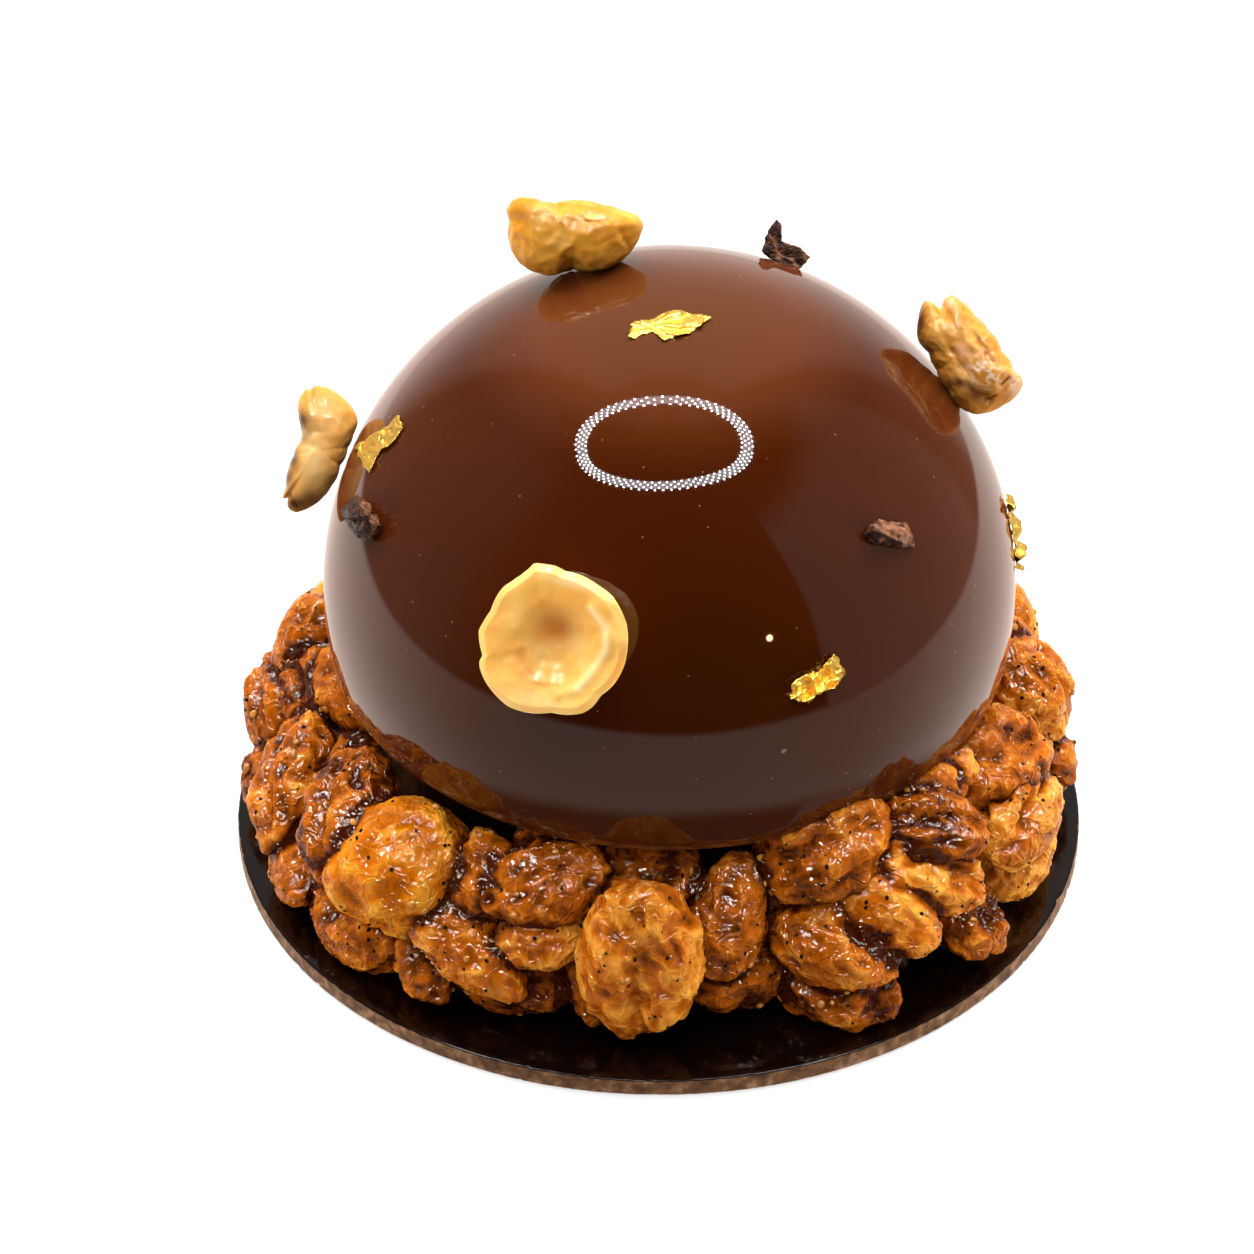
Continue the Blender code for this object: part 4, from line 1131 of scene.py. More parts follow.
def make_broken_nut(unit, look):
    """A nut broken off blunt at its lower end and notched at its upper one."""
    grooves = (
        (((-2.9, 5.4), (-2.7, 4.4), (-2.5, 3.6)), 0.28, 0.7),
        (((-2.0, 0.5), (-1.0, -1.2), (-0.2, -2.0)), 0.4, 0.25),
        (((3.3, -3.2), (3.9, -2.5)), 0.16, 0.5),
        (((2.0, -5.0), (2.6, -4.3)), 0.14, 0.45),
        (((4.4, -3.0), (5.2, -2.2)), 0.14, 0.3),
        (((-0.4, -3.5), (0.6, -4.2), (1.6, -4.4)), 0.55, 0.55),
        (((0.7, 1.6), (1.4, 0.5), (2.0, -0.8)), 0.5, 0.3),
    )
    relief = (0.05, (0.22, lumps, 2.6, 51), (0.07, folds, 1.2, 52), (0.05, lumps, 0.45, 53))
    scorched = (
        (-4.9, 3.2, 0.7, 1.9, 1.0), (-4.2, 1.2, 1.0, 1.2, 0.5), (-1.2, -3.0, 0.9, 0.5, 0.8),
        (0.5, -4.2, 1.3, 0.8, 0.85), (1.6, -4.6, 0.8, 0.5, 0.6), (-1.5, 3.0, 1.4, 1.0, 0.25),
    )
    pits = (
        (-0.6, 4.5, 0.12, 0.12, 1.0), (0.9, 1.5, 0.22, 0.22, 0.9), (-1.1, -1.3, 0.12, 0.12, 1.0),
        (-1.7, 0.5, 0.1, 0.1, 0.9),
    )
    cracked = ((1.0, -1.5, 1.4, 1.5, 1.0), (2.2, -2.2, 1.3, 1.2, 0.9))
    worn = ((4.6, -3.0, 0.6, 1.2, 0.5), (-1.8, 5.2, 0.5, 0.7, 0.3), (-0.7, 0.2, 0.7, 0.7, 0.25))
    shape = (BROKEN_OUTLINE, BROKEN_DEPTHS, BROKEN_MIDDLE)
    world, local, front = outline_nut(unit, *shape, relief, grooves, 0.8)
    u, v = local[:, 0], local[:, 1]
    brown = spots(u, v, scorched + pits) * front
    web = np.clip(folds(local * np.array((1.0, 1.3, 1.0)), 0.9, 54), 0.0, 1.0) ** 2
    pale = np.maximum(spots(u, v, cracked) * web, spots(u, v, worn)) * front
    mesh = mesh_of("broken", world, unit[1], {"brown": brown, "pale": pale})
    show("broken_nut_piece", mesh, look, ["broken_nut"])


def make_curved_nut(unit, look):
    """A nut bent like a crescent, its hollow side scorched."""
    grooves = (
        (((-1.1, 6.9), (-0.9, 5.8)), 0.18, 0.5),
        (((-2.2, 1.9), (-1.3, 1.7), (-0.4, 2.0)), 0.4, 0.15),
        (((-3.0, -4.4), (-2.6, -5.2), (-2.2, -5.6)), 0.2, 0.25),
    )
    relief = (0.03, (0.12, lumps, 2.8, 61), (0.05, lumps, 0.8, 62))
    scorched = (
        (-1.9, 3.0, 1.2, 1.3, 1.0), (-1.5, 1.5, 0.8, 1.0, 0.7), (-2.7, -0.7, 0.8, 1.5, 1.0),
        (-3.3, -2.6, 0.8, 1.6, 0.9), (-2.4, -5.3, 1.5, 0.9, 0.95), (-0.9, -4.8, 1.2, 0.8, 0.7),
        (0.0, 2.2, 0.6, 0.35, 0.25), (2.6, 3.4, 0.8, 0.8, 0.3), (0.8, 5.2, 2.8, 2.2, 0.16),
    )
    worn = ((-0.4, -1.2, 1.3, 2.8, 0.5), (0.6, 2.6, 1.0, 1.4, 0.2))
    world, local, front = outline_nut(unit, CURVED_OUTLINE, CURVED_DEPTHS, CURVED_MIDDLE, relief, grooves)
    u, v = local[:, 0], local[:, 1]
    outer_side = ramp(u + 0.42 * v, 1.8, 3.8) * ramp(-v, -2.5, 1.5)
    brown = np.maximum(spots(u, v, scorched), 0.5 * outer_side) * np.maximum(front, 0.8)
    pale = spots(u, v, worn) * front
    mesh = mesh_of("curved", world, unit[1], {"brown": brown, "pale": pale})
    show("curved_nut_piece", mesh, look, ["curved_nut"])


def make_hazelnut_half(unit, look):
    """Half a hazelnut, its round side on the glaze and its cut face with the empty hollow outwards.
    A ridge runs round the hollow on its right."""
    skin_left = ((-2.8, -1.6, 0.7, 1.2, 0.5), (-1.9, -3.2, 0.8, 0.5, 0.55), (-0.3, -3.9, 1.3, 0.4, 0.45))
    worn = ((1.5, 6.3, 2.6, 0.5, 0.4), (-1.0, -5.6, 2.5, 1.0, 0.2))
    middle, axes = dome_frame(*HALF_PLACE)
    up, out, right = axes
    x, y, z = unit[0].T
    angles = np.arctan2(y, x)
    share = np.clip(np.hypot(x, y), 0.0, 1.0)
    share = np.where(z > 0.0, share**0.85, share)
    reach = reach_of(HALF_OUTLINE, angles)
    u = np.cos(angles) * reach * share
    v = np.sin(angles) * reach * share
    face = np.interp(share, *np.array(HALF_FACE).T)
    bowl = np.interp(share, *np.array(HALF_BOWL).T)
    w = np.where(z > 0.0, face, bowl)
    flat = np.stack((u, v, w), axis=1)
    front = ramp(z, 0.0, 0.15)
    w = w + front * (0.16 * lumps(flat, 2.4, 71) + 0.05 * lumps(flat, 0.9, 72))
    w = w + front * 0.3 * bump(to_path(u, v, HALF_RIDGE), 0.0, 0.55)
    w = w - front * 0.35 * bump(np.hypot(u - 0.3, v - 0.9), 0.0, 1.3)
    w = w - front * 0.4 * ramp(np.hypot(u - 6.6, v + 1.0), 3.2, 0.6)
    w = np.minimum(w, HALF_DEPTH + 0.25)
    inside = np.hypot(u + 0.1, v - 0.2)
    brown = 0.5 * bump(np.hypot((u - 0.3) / 1.2, (v - 1.6)), 0.0, 1.7) + 0.42 * bump(inside, 0.0, 3.6)
    brown = np.maximum(brown, spots(u, v, skin_left)) * front
    rim = ramp(share + 0.05 * lumps(flat, 1.4, 73), 0.8, 0.99)
    ridge = bump(to_path(u, v, HALF_RIDGE[:-1]), 0.0, 0.4)
    pale = np.clip(0.1 * rim + 0.4 * ridge + spots(u, v, worn), 0.0, 1.0) * front
    world = middle + u[:, None] * right + v[:, None] * up + w[:, None] * out
    mesh = mesh_of("half", world, unit[1], {"brown": brown, "pale": pale})
    face_outwards(mesh)
    show("hollow_hazelnut_half", mesh, look, ["hazelnut_half"])


# Gold leaf and cocoa nibs: a middle on the glaze, and an outline round it as the photograph shows
# it, rightwards and upwards

LEAF_THICKNESS = 0.05
LEAF_CELL = 0.1
LEAF_TOP_MIDDLE = np.array((0.81, -3.89, 65.06))
LEAF_TOP_OUTLINE = (
    (4.27, 0.88), (3.28, 1.11), (2.39, 1.14), (1.84, 1.35), (1.29, 1.52), (0.67, 1.59), (-0.09, 1.42),
    (-0.84, 1.11), (-1.46, 0.7), (-1.94, 0.56), (-2.56, 0.52), (-3.38, 0.49), (-3.52, 0.25), (-3.78, 0.04),
    (-3.59, -0.2), (-3.97, -0.54), (-3.79, -0.71), (-4.1, -1.06), (-3.79, -1.19), (-3.31, -1.4),
    (-2.97, -1.09), (-2.49, -0.85), (-2.21, -0.92), (-1.63, -0.61), (-1.18, -0.92), (-0.84, -1.3),
    (-0.43, -1.54), (-0.09, -1.36), (0.26, -1.36), (0.81, -1.02), (1.49, -0.88), (1.97, -0.85),
    (2.52, -0.47), (3.28, 0.18), (3.9, 0.66),
)
LEAF_LEFT_MIDDLE = np.array((-28.16, -3.18, 50.31))
LEAF_LEFT_OUTLINE = (
    (2.19, 2.94), (2.31, 2.74), (2.25, 2.39), (2.51, 1.94), (2.65, 1.42), (2.36, 1.14), (1.91, 0.45),
    (1.14, -0.37), (0.77, -0.37), (0.31, -0.75), (-0.01, -1.2), (-0.32, -1.94), (-0.75, -2.86),
    (-1.0, -2.51), (-1.43, -2.26), (-1.52, -1.83), (-1.8, -1.26), (-2.2, -0.97), (-1.97, -0.46),
    (-2.63, -0.17), (-2.09, 0.23), (-1.4, 0.45), (-0.6, 1.02), (0.31, 1.42), (1.16, 1.91), (1.74, 2.57),
)
LEAF_FRONT_MIDDLE = np.array((15.16, -30.57, 41.85))
LEAF_FRONT_OUTLINE = (
    (1.58, 2.37), (2.07, 1.96), (2.1, 1.46), (2.32, 1.17), (2.54, 0.97), (2.71, 0.43), (2.32, 0.08),
    (1.95, -0.46), (1.6, -0.93), (1.31, -0.91), (0.42, -1.3), (0.15, -1.55), (-0.12, -1.5), (-0.52, -1.94),
    (-0.91, -2.31), (-1.11, -2.19), (-1.85, -2.21), (-2.14, -1.97), (-2.69, -1.92), (-2.71, -1.65),
    (-2.51, -1.15), (-2.66, -0.61), (-2.19, -0.12), (-1.6, 0.23), (-1.16, 0.5), (-0.96, 0.5),
    (-0.32, 0.72), (-0.07, 0.6), (0.49, 1.07), (0.47, 1.26), (0.81, 1.51), (1.06, 1.91), (1.36, 2.05),
    (1.41, 2.3),
)
LEAF_RIGHT_PLACE = (91.5, 9.0, 0.0, 88.0)
LEAF_RIGHT_OUTLINE = (
    (-0.6, 4.7), (0.7, 4.5), (1.6, 3.4), (1.1, 2.6), (1.7, 1.5), (1.9, 0.3), (1.3, -0.5), (1.6, -1.6),
    (1.1, -2.5), (0.8, -3.6), (0.2, -4.6), (-0.6, -4.2), (-1.0, -2.8), (-1.8, -1.9), (-1.5, -0.6),
    (-1.9, 0.4), (-1.6, 1.8), (-1.0, 2.5), (-1.5, 3.5),
)


def within(u, v, outline):
    """Which places lie inside an outline."""
    inside = np.zeros(len(u), bool)
    for (ax, ay), (bx, by) in zip(outline, outline[1:] + outline[:1]):
        crosses = (ay > v) != (by > v)
        inside ^= crosses & (u < ax + (bx - ax) * (v - ay) / (by - ay if by != ay else 1.0))
    return inside


def on_glaze(middle, axes, u, v, height):
    """The places on the dome, and this high over it, that are seen at (u, v) from the middle."""
    right, up, towards = axes
    start = middle + u[:, None] * right + v[:, None] * up - DOME_AXIS
    sizes = DOME_SIZES + height[:, None]
    start = start / sizes
    way = towards / sizes
    a = np.sum(way * way, axis=1)
    b = np.sum(start * way, axis=1)
    c = np.sum(start * start, axis=1) - 1.0
    reach = (-b + np.sqrt(np.maximum(b * b - a * c, 0.0))) / a
    return DOME_AXIS + (start + way * reach[:, None]) * sizes


def leaf_shape(middle, axes, outline, crumple):
    """A torn, crumpled scrap of foil lying on the glaze, as an open sheet."""
    cell = LEAF_CELL
    low = np.min(outline, axis=0) - cell
    counts = np.ceil((np.max(outline, axis=0) + cell - low) / cell).astype(int) + 1
    row, column = np.divmod(np.arange(counts[0] * counts[1]), counts[1])
    u = low[0] + row * cell
    v = low[1] + column * cell
    first = np.flatnonzero((row < counts[0] - 1) & (column < counts[1] - 1))
    first = first[within(u[first] + cell / 2, v[first] + cell / 2, outline)]
    faces = np.stack((first, first + counts[1], first + counts[1] + 1, first + 1), axis=1)
    used, faces = np.unique(faces, return_inverse=True)
    faces = faces.reshape(-1, 4)
    u, v = u[used], v[used]
    points = on_glaze(middle, axes, u, v, np.maximum(crumple(u, v), 0.03))
    return points, faces, {}


def flat(u, v):
    """Places on a scrap of leaf before it is laid down."""
    return np.stack((u, v, u * 0.0), axis=1)


def top_folds(u, v):
    """Pleats that run out from a pinched waist."""
    spread = np.arctan2(v + 0.2, np.abs(u + 1.75) + 0.25)
    pleats = 0.5 + 0.5 * np.sin(spread * 15.0 + 2.0 * lumps(flat(u, v), 1.5, 81))
    away = ramp(np.abs(u + 1.75), 0.0, 2.2)
    return 0.1 + 0.34 * pleats * away + 0.12 * lumps(flat(u, v), 0.5, 82)


def left_folds(u, v):
    """Gentle creases, with one edge that curls up."""
    creases = 0.2 + 0.16 * lumps(flat(u, v), 1.1, 83) + 0.14 * folds(flat(u, v), 0.7, 84)
    return creases + 0.25 * ramp(-u, 1.0, 2.2)


def front_folds(u, v):
    """A tightly crumpled scrap."""
    return 0.35 + 0.45 * folds(flat(u, v), 0.95, 85) + 0.22 * lumps(flat(u, v), 0.4, 86)


def right_folds(u, v):
    """Bunches that stand up one above another at the dome's edge."""
    bunches = bump(v, 3.9, 0.6) + 1.2 * bump(v, 0.8, 1.0) + 1.4 * bump(v, -2.0, 0.5)
    bunches = bunches + 0.9 * bump(v, -4.4, 0.5)
    sides = ramp(1.9 - np.abs(u), 0.0, 1.2)
    return 0.1 + bunches * sides * 0.85 + 0.25 * lumps(flat(u, v), 0.7, 87)


def make_gold(look):
    """Four scraps of gold leaf. Three lie as the photograph shows them, the fourth at the edge."""
    seen = (RIGHTWARDS, UPWARDS, TOWARDS)
    edge_middle, edge_axes = dome_frame(*LEAF_RIGHT_PLACE)
    along, out, across = edge_axes[::-1]
    sheets = [
        leaf_shape(LEAF_TOP_MIDDLE, seen, LEAF_TOP_OUTLINE, top_folds),
        leaf_shape(LEAF_LEFT_MIDDLE, seen, LEAF_LEFT_OUTLINE, left_folds),
        leaf_shape(LEAF_FRONT_MIDDLE, seen, LEAF_FRONT_OUTLINE, front_folds),
        leaf_shape(edge_middle, (across, along, out), LEAF_RIGHT_OUTLINE, right_folds),
    ]
    points, faces, _ = stack(sheets)
    thicken = ("SOLIDIFY", {"thickness": LEAF_THICKNESS * MM, "offset": 0.0})
    mesh = worked("foil", mesh_of("foil", points, faces), (thicken,))
    face_outwards(mesh)
    show("gold_foil", mesh, look, ["dome"])


def hull_of(points):
    """The convex skin round some points."""
    shape = bmesh.new()
    for point in points:
        shape.verts.new(point)
    made = bmesh.ops.convex_hull(shape, input=shape.verts)
    bmesh.ops.delete(shape, geom=list({*made["geom_interior"], *made["geom_unused"]}), context="VERTS")
    bmesh.ops.triangulate(shape, faces=shape.faces)
    shape.verts.index_update()
    places = np.array([vertex.co[:] for vertex in shape.verts])
    faces = np.array([[vertex.index for vertex in face.verts] for face in shape.faces])
    shape.free()
    return places, faces, {}


# The first nib stands like a broken chair against the top of the dome. Each slab is its outline and
# how near and how far it reaches.
NIB_CELL = 0.08
CHAIR_MIDDLE = np.array((12.65, 19.47, 59.17))
CHAIR_SLABS = (
    (((-1.6, 0.97), (-1.93, 0.63), (-2.2, -0.75), (-1.45, -1.45), (-0.58, -1.11), (-1.2, 0.48)), 0.9, -0.3),
    (((-1.45, -1.45), (0.1, -2.4), (1.5, -2.5), (0.97, -1.74), (-0.58, -1.11)), 0.9, -0.3),
    (((-0.75, 2.46), (-0.27, 1.93), (-0.48, 1.06), (-0.24, 0.29), (-0.58, -1.11), (-1.2, 0.48)), 0.2, -0.8),
    (((-0.75, 2.46), (-1.2, 0.48), (-1.67, 1.2), (-1.14, 2.08)), 0.1, -0.8),
    (((-0.58, -1.11), (-0.24, 0.29), (0.0, 0.2), (1.74, -0.48), (0.97, -1.74)), 0.3, -0.6),
    (((1.74, -0.6), (2.03, -0.87), (2.68, -1.35), (1.5, -2.49), (0.97, -1.74)), 0.7, -0.5),
)
# The others lie on the glaze: corners as rightwards, upwards and height over it
LEFT_NIB_MIDDLE = np.array((-29.81, -10.28, 46.25))
LEFT_NIB_HULLS = (
    (
        (-2.13, 0.98, 0.3), (-1.16, 2.04, 0.5), (-0.27, 2.48, 0.6), (0.3, 2.17, 0.8), (1.01, 1.6, 0.5),
        (1.41, 0.76, 0.6), (-1.2, 1.1, 1.9), (0.3, 1.3, 2.4), (0.9, 0.2, 2.5), (-1.0, 0.0, 2.1),
        (-1.82, 0.27, 0.8),
    ),
    (
        (-1.82, 0.27, 0.2), (-1.24, -0.61, 0.3), (-0.27, -1.72, 0.3), (0.96, -2.25, 0.4), (1.49, -2.29, 0.3),
        (1.87, -1.8, 0.4), (2.0, -1.01, 0.5), (2.29, -0.7, 0.6), (1.85, 0.36, 0.8), (1.2, 0.4, 1.9),
        (-0.9, -0.2, 1.6), (0.4, -0.9, 2.2), (1.3, -1.2, 1.6),
    ),
)
RIGHT_NIB_MIDDLE = np.array((22.24, -19.95, 51.58))
RIGHT_NIB_HULLS = (
    (
        (-2.65, -0.15, 0.4), (-2.3, 0.49, 0.3), (-1.51, 1.18, 0.2), (-1.06, 1.41, 0.2), (-0.32, 1.08, 0.3),
        (-1.51, -1.1, 0.3), (-2.15, -0.75, 0.4), (-1.7, 0.2, 1.5), (-0.5, -0.2, 1.9), (-0.42, -1.24, 0.3),
        (0.3, 0.6, 1.2), (0.4, -0.6, 1.7),
    ),
    (
        (-0.32, 1.08, 0.2), (0.57, 1.03, 0.2), (1.71, 1.06, 0.5), (2.11, 0.34, 0.7), (2.36, -0.25, 0.8),
        (2.53, -1.39, 0.4), (1.81, -1.44, 0.3), (0.87, -1.34, 0.3), (-0.42, -1.24, 0.3), (0.2, 0.2, 1.6),
        (1.2, -0.2, 1.5), (1.6, 0.6, 1.1), (0.5, -0.7, 1.6),
    ),
)


def make_nibs(look):
    """Three splinters of cocoa bean, each grown into one skin and then roughened."""
    seen = np.array((RIGHTWARDS, UPWARDS, TOWARDS))
    shapes = []
    for outline, near, far in CHAIR_SLABS:
        points, faces, _ = hull_of([(u, v, w) for w in (near, far) for u, v in outline])
        shapes.append((CHAIR_MIDDLE + points @ seen, faces, {}))
    for middle, hulls in ((LEFT_NIB_MIDDLE, LEFT_NIB_HULLS), (RIGHT_NIB_MIDDLE, RIGHT_NIB_HULLS)):
        for corners in hulls:
            corners = np.array(corners + tuple((u * 0.8, v * 0.8, -0.3) for u, v, _ in corners))
            points = on_glaze(middle, seen, corners[:, 0], corners[:, 1], corners[:, 2])
            shapes.append(hull_of(points))
    points, faces, _ = stack(shapes)
    one_skin = ("REMESH", {"mode": "VOXEL", "voxel_size": NIB_CELL * MM})
    worn_edges = ("SMOOTH", {"factor": 0.5, "iterations": 2})
    mesh = worked("nibs", mesh_of("nibs", points, faces), (one_skin, worn_edges))
    points = read_points(mesh, "co") / MM
    facing = read_points(mesh, "normal")
    rough = 0.12 * lumps(points, 0.9, 91) + 0.07 * lumps(points * np.array((1.0, 2.2, 1.0)), 0.35, 92)
    places = (points + facing * rough[:, None]) * MM
    mesh.vertices.foreach_set("co", places.astype(np.float32).ravel())
    broken = ramp(facing @ (0.6 * RIGHTWARDS + 0.1 * UPWARDS) + 0.6 * lumps(points, 0.9, 93), 0.0, 0.4)
    mesh.attributes.new("pale", "FLOAT", "POINT").data.foreach_set("value", broken.astype(np.float32))
    mesh.update()
    mesh.shade_smooth()
    show("cocoa_nibs", mesh, look, ["dome"])


# Studio: the ring lamp's middle and half spans, for each millimetre that it hangs over the dessert
RING_MIDDLE = np.array((-0.035, -0.056))
RING_SPANS = np.array((0.435, 0.27))
RING_HEIGHT = 900.0
RING_DOTS = 64
RING_DOT_HALF = 4.0
GLOW_OVER_DOTS = 3.0
FAR_LAMPS_AWAY = 900.0
FLOOR_NEAR = 165.0
FLOOR_FAR = 4000.0
FLOOR_STEPS = 96


def make_camera():
    """The photograph's long lens, which looks down at the dessert."""
    lens = bpy.data.cameras.new("camera")
    lens.lens = CAMERA_LENS
    lens.sensor_width = CAMERA_SENSOR
    lens.clip_start = 0.01
    camera = bpy.data.objects.new("camera", lens)
    camera.location = Vector((CAMERA_AIM + TOWARDS * CAMERA_DISTANCE) * MM)
    camera.rotation_euler = (math.pi / 2 - SIGHT, 0.0, 0.0)
    LINK(camera)
    bpy.context.scene.camera = camera


def make_floor():
    """A plain pale floor. Mirrors and soft light get theirs from the studio round about instead."""
    look, add = new_look("pale_floor")
    surface = add(
        "ShaderNodeBsdfPrincipled",
        {
            "Base Color": (0.4, 0.4, 0.4, 1.0),
            "Roughness": 1.0,
            "Emission Color": WHITE,
            "Emission Strength": 0.6,
        },
    )
    add("ShaderNodeOutputMaterial", {"Surface": surface})
    for name, inner, outer in (("floor_near", 0.0, FLOOR_NEAR), ("floor_far", FLOOR_NEAR, FLOOR_FAR)):
        rings = [oval(radius, radius, 0.0, FLOOR_STEPS) for radius in (inner, outer)]
        mesh = mesh_of(name, np.concatenate(rings), bands(2, FLOOR_STEPS))
        floor = bpy.data.objects.new(name, mesh)
        mesh.materials.append(look)
        face_outwards(mesh)
        LINK(floor)
        floor.visible_glossy = False
        floor.visible_diffuse = False
        floor.visible_shadow = False


def make_world():
    """Soft white for all that is matt, and for mirrors the studio's soft boxes by direction: each
    card spans degrees round the dessert, faded at both ends, and up to a height over the floor."""
    world = bpy.data.worlds.new("studio")
    bpy.context.scene.world = world
    world.use_nodes = True
    world.cycles.sampling_method = "NONE"
    world.node_tree.nodes.clear()
    add = partial(node, world.node_tree)
    place = add("ShaderNodeTexCoord", out=0)
    split = add("ShaderNodeSeparateXYZ", {0: place}).node
    x, y, z = split.outputs
    back = add("ShaderNodeMath", {0: y, 1: -1.0}, operation="MULTIPLY")
    azimuth = add("ShaderNodeMath", {0: x, 1: back}, operation="ARCTAN2")
    azimuth = add("ShaderNodeMath", {0: azimuth}, operation="DEGREES")
    height = add("ShaderNodeMath", {0: z}, operation="ARCSINE")
    height = add("ShaderNodeMath", {0: height}, operation="DEGREES")
    aside = add("ShaderNodeMath", {0: azimuth}, operation="ABSOLUTE")
    map_range = "ShaderNodeMapRange"
    smooth = {"interpolation_type": "SMOOTHSTEP"}
    cards = (
        (aside, 132.0, 145.0, 200.0, 210.0, 62.0, 74.0, 0.42),
        (azimuth, -140.0, -126.0, -88.0, -52.0, 46.0, 68.0, 0.18),
        (azimuth, 48.0, 50.5, 122.0, 134.0, 44.0, 60.0, 0.3),
        (aside, 100.0, 130.0, 200.0, 210.0, 80.0, 88.0, 0.14),
    )
    total = None
    for along, start, full, fade, end, top, over, glow in cards:
        rising = add(map_range, {0: along, 1: start, 2: full, 3: 0.0, 4: 1.0}, **smooth)
        falling = add(map_range, {0: along, 1: fade, 2: end, 3: 1.0, 4: 0.0}, **smooth)
        upper = add(map_range, {0: height, 1: top, 2: over, 3: glow, 4: 0.0}, **smooth)
        card = add("ShaderNodeMath", {0: rising, 1: falling}, operation="MULTIPLY")
        card = add("ShaderNodeMath", {0: card, 1: upper}, operation="MULTIPLY")
        total = card if total is None else add("ShaderNodeMath", {0: total, 1: card}, operation="MAXIMUM")
    near_floor = add(map_range, {0: height, 1: 25.0, 2: -12.0, 3: 0.0, 4: 0.5}, **smooth)
    floor_glow = add(map_range, {0: aside, 1: 55.0, 2: 130.0, 3: 0.54, 4: 1.25}, **smooth)
    below = add(map_range, {0: height, 1: -14.5, 2: -11.5, 3: floor_glow, 4: 0.0}, **smooth)
    beyond = add(map_range, {0: height, 1: -50.0, 2: -42.0, 3: 0.1, 4: 1.0}, **smooth)
    below = add("ShaderNodeMath", {0: below, 1: beyond}, operation="MULTIPLY")
    behind = add(map_range, {0: aside, 1: 140.0, 2: 155.0, 3: 0.0, 4: 1.0}, **smooth)
    near_floor = add("ShaderNodeMath", {0: near_floor, 1: behind}, operation="MULTIPLY")
    total = add("ShaderNodeMath", {0: total, 1: near_floor}, operation="ADD")
    total = add("ShaderNodeMath", {0: total, 1: below}, operation="MAXIMUM")
    total = add("ShaderNodeMath", {0: total, 1: 0.006}, operation="ADD")
    kind = add("ShaderNodeLightPath").node.outputs
    mirrored = add("ShaderNodeBackground", {"Color": (1.0, 0.945, 0.885, 1.0), "Strength": total})
    floor_fill = add(map_range, {0: aside, 1: 20.0, 2: 90.0, 3: 0.2, 4: 1.7}, **smooth)
    bounce = add(map_range, {0: height, 1: -14.0, 2: -10.0, 3: floor_fill, 4: 0.1}, **smooth)
    fill = add("ShaderNodeBackground", {"Color": WHITE, "Strength": bounce})
    seen = add("ShaderNodeBackground", {"Color": WHITE, "Strength": 0.985})
    both = add("ShaderNodeMixShader", {0: kind["Is Glossy Ray"], 1: fill, 2: mirrored})
    both = add("ShaderNodeMixShader", {0: kind["Is Camera Ray"], 1: both, 2: seen})
    add("ShaderNodeOutputWorld", {"Surface": both})


def glow_look(name, tint, strength):
    """The bright face of a lamp."""
    look, add = new_look(name)
    surface = add("ShaderNodeEmission", {"Color": tint, "Strength": strength})
    add("ShaderNodeOutputMaterial", {"Surface": surface})
    return look


def mirror_only(item):
    """Leaves a lamp to mirrors alone."""
    for name in ("camera", "diffuse", "transmission", "volume_scatter", "shadow"):
        setattr(item, f"visible_{name}", False)


def make_ring_lamp():
    """Rows of small lamps round an oval and a faint band behind them, which the glaze alone mirrors
    as a ring of dots. A row is its share of the oval's width and depth, and its dots' shift."""
    middle = RING_MIDDLE * RING_HEIGHT
    spans = RING_SPANS * RING_HEIGHT
    rows = ((1.04, 1.06, 0.0), (0.995, 1.0, 0.5), (0.95, 0.94, 0.0), (0.905, 0.88, 0.5))
    dot = np.array(((1, 1), (-1, 1), (-1, -1), (1, -1))) * RING_DOT_HALF
    points = []
    for wide, deep, late in rows:
        for step in range(RING_DOTS):
            angle = (step + late) * math.tau / RING_DOTS
            boxed = 0.82 if math.sin(angle) > 0.0 else 1.0
            at = middle + spans * (boxy(math.cos(angle), boxed) * wide, boxy(math.sin(angle), boxed) * deep)
            points += [(*(at + corner), RING_HEIGHT) for corner in dot]
    points = np.array(points)
    corners_in_row = 4 * RING_DOTS
    band = np.concatenate((points[:corners_in_row:4], points[-corners_in_row::4]))
    band = band + np.array((0.0, 0.0, GLOW_OVER_DOTS))
    for name, places, faces, strength in (
        ("ring_lamp", points, np.arange(len(points)).reshape(-1, 4), 95.0),
        ("ring_glow", band, bands(2, RING_DOTS), 5.0),
    ):
        lamp = bpy.data.objects.new(name, mesh_of(name, places, faces))
        lamp.data.materials.append(glow_look(name, (0.93, 0.96, 1.0, 1.0), strength))
        lamp.light_linking.receiver_collection = LIT["glaze"]
        LINK(lamp)
        mirror_only(lamp)


def make_far_lamps():
    """Two far warm lamps in front, which the glaze mirrors as points."""
    points, faces = ball(4, 4)
    for name, azimuth, height, radius, strength in (
        ("lamp_high", 33, 19, 17.0, 40.0),
        ("lamp_low", 35, -21, 12.0, 4.0),
    ):
        places = points * radius + heading(azimuth, height) * FAR_LAMPS_AWAY
        lamp = bpy.data.objects.new(name, mesh_of(name, places, faces))
        lamp.data.materials.append(glow_look(name, (1.0, 0.72, 0.38, 1.0), strength))
        LINK(lamp)
        mirror_only(lamp)


def round_the_ring(turn):
    """The azimuth and height of a place on the ring lamp, as the dessert sees it."""
    x, y = RING_MIDDLE + RING_SPANS * (math.cos(math.radians(turn)), math.sin(math.radians(turn)))
    return math.degrees(math.atan2(x, -y)), math.degrees(math.atan2(1.0, math.hypot(x, y)))


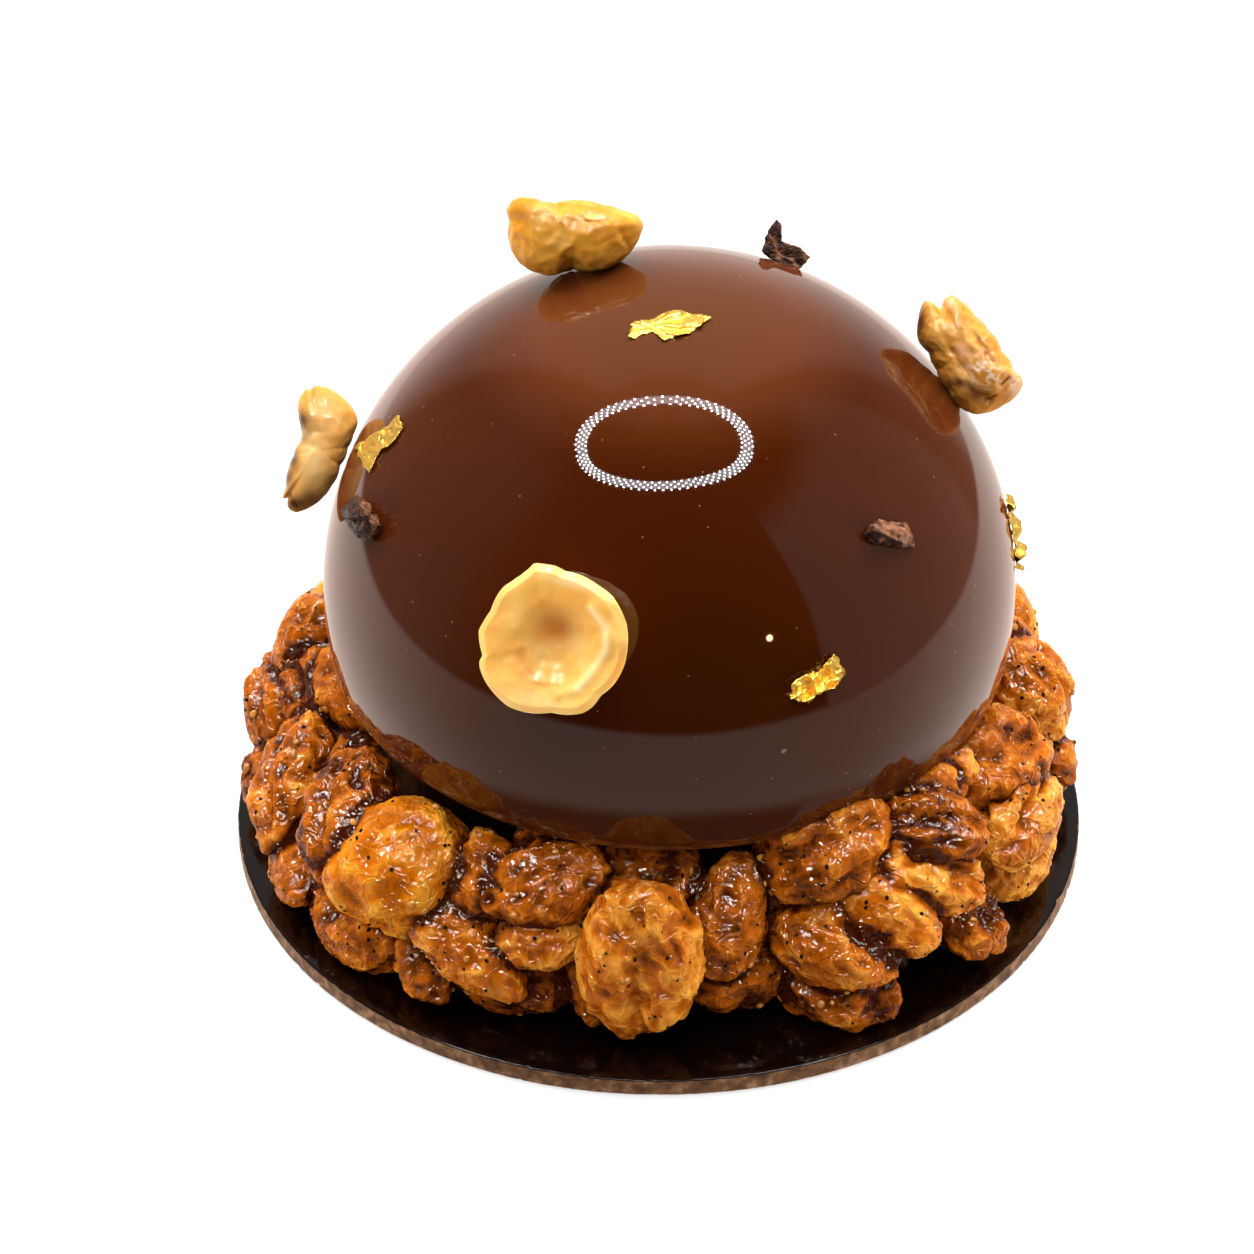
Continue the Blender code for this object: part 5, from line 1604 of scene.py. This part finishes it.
def make_lights():
    """Soft lights high behind the dessert on both sides, one over it and a weak one before it. Low
    ones on both sides lift the glaze alone, and a fill from the front lifts the nuts. Mirrors show
    none of these. Small warm ones do nothing but glint, on caramel or on gold and the loose nuts."""
    for name, azimuth, height, strength, spread, receivers in (
        ("soft_light_left", -140, 48, 3.2, 45, None),
        ("soft_light_right", 140, 48, 3.7, 45, None),
        ("soft_light_above", 0, 80, 2.4, 50, None),
        ("soft_light_before", -5, 42, 0.2, 40, None),
        ("low_light_left", -80, -18, 1.7, 40, "glaze"),
        ("low_light_right", 80, -18, 2.2, 40, "glaze"),
        ("front_fill", -5, 35, 0.85, 40, "filled"),
        *(("glint_above", *round_the_ring(turn), 2.0, 10, "caramel") for turn in range(0, 360, 45)),
        ("glint_left", -50, 50, 2.0, 9, "caramel"),
        ("glint_right", 65, 45, 2.0, 9, "caramel"),
        ("glint_behind", 175, 60, 1.6, 12, "caramel"),
        *(("shine_above", *round_the_ring(turn), 1.6, 6, "toppings") for turn in range(45, 405, 90)),
        ("shine_left", -50, 55, 1.1, 10, "toppings"),
        ("shine_right", 65, 50, 1.1, 10, "toppings"),
    ):
        light = bpy.data.lights.new(name, "SUN")
        light.energy = strength
        light.angle = math.radians(spread)
        lamp = bpy.data.objects.new(name, light)
        lamp.rotation_euler = Vector(heading(azimuth, height)).to_track_quat("Z", "Y").to_euler()
        glints = receivers in ("caramel", "toppings")
        lamp.visible_glossy = glints
        lamp.visible_diffuse = not glints
        if glints:
            light.color = (1.0, 0.9, 0.78)
        if receivers:
            lamp.light_linking.receiver_collection = LIT[receivers]
        LINK(lamp)


def main():
    """The studio, and then the dessert from its glaze to its toppings."""
    bpy.context.scene.view_settings.view_transform = "Standard"
    noise.seed_set(GRAIN_SEED)
    looks = {
        "nut": caramel_nut_look("nut_in_caramel", "#401402", "#b85c08", "#faae40"),
        "hazelnut": caramel_nut_look("hazelnut_in_caramel", "#5c2400", "#c26404", "#f0a42e"),
    }
    make_camera()
    make_world()
    make_lights()
    make_floor()
    make_ring_lamp()
    make_far_lamps()
    make_dome(glaze_look())
    make_disc(disc_top_look(), disc_side_look())
    nuts = make_nuts(looks)
    make_syrup(syrup_look())
    make_bits(nuts, bit_look("vanilla_speck", "#1a0c05", 0.7), bit_look("nut_crumb", "#c07a24", 0.4, 0.5))
    unit = ball(56, 56)
    amber = ((0.3, "#cc841e"), (0.55, "#dc9c34"), (0.75, "#ecb854"))
    make_golden_nut(unit, roasted_look("golden_nut_flesh", amber, "#a25c14", "#f8dc96"))
    straw = ((0.3, "#c87c26"), (0.55, "#da983e"), (0.75, "#ecb75e"))
    make_broken_nut(unit, roasted_look("broken_nut_flesh", straw, "#602808", "#fbeed2"))
    honey = ((0.3, "#d88e3a"), (0.55, "#e4aa54"), (0.75, "#eebe6e"))
    make_curved_nut(unit, roasted_look("curved_nut_flesh", honey, "#461a03", "#f8dfa4"))
    make_gold(gold_look())
    make_nibs(nib_look())
    cream = ((0.3, "#eca94c"), (0.55, "#f0bc5e"), (0.75, "#f4ce7c"))
    make_hazelnut_half(unit, roasted_look("hazelnut_flesh", cream, "#b0601a", "#fff0c4"))


main()
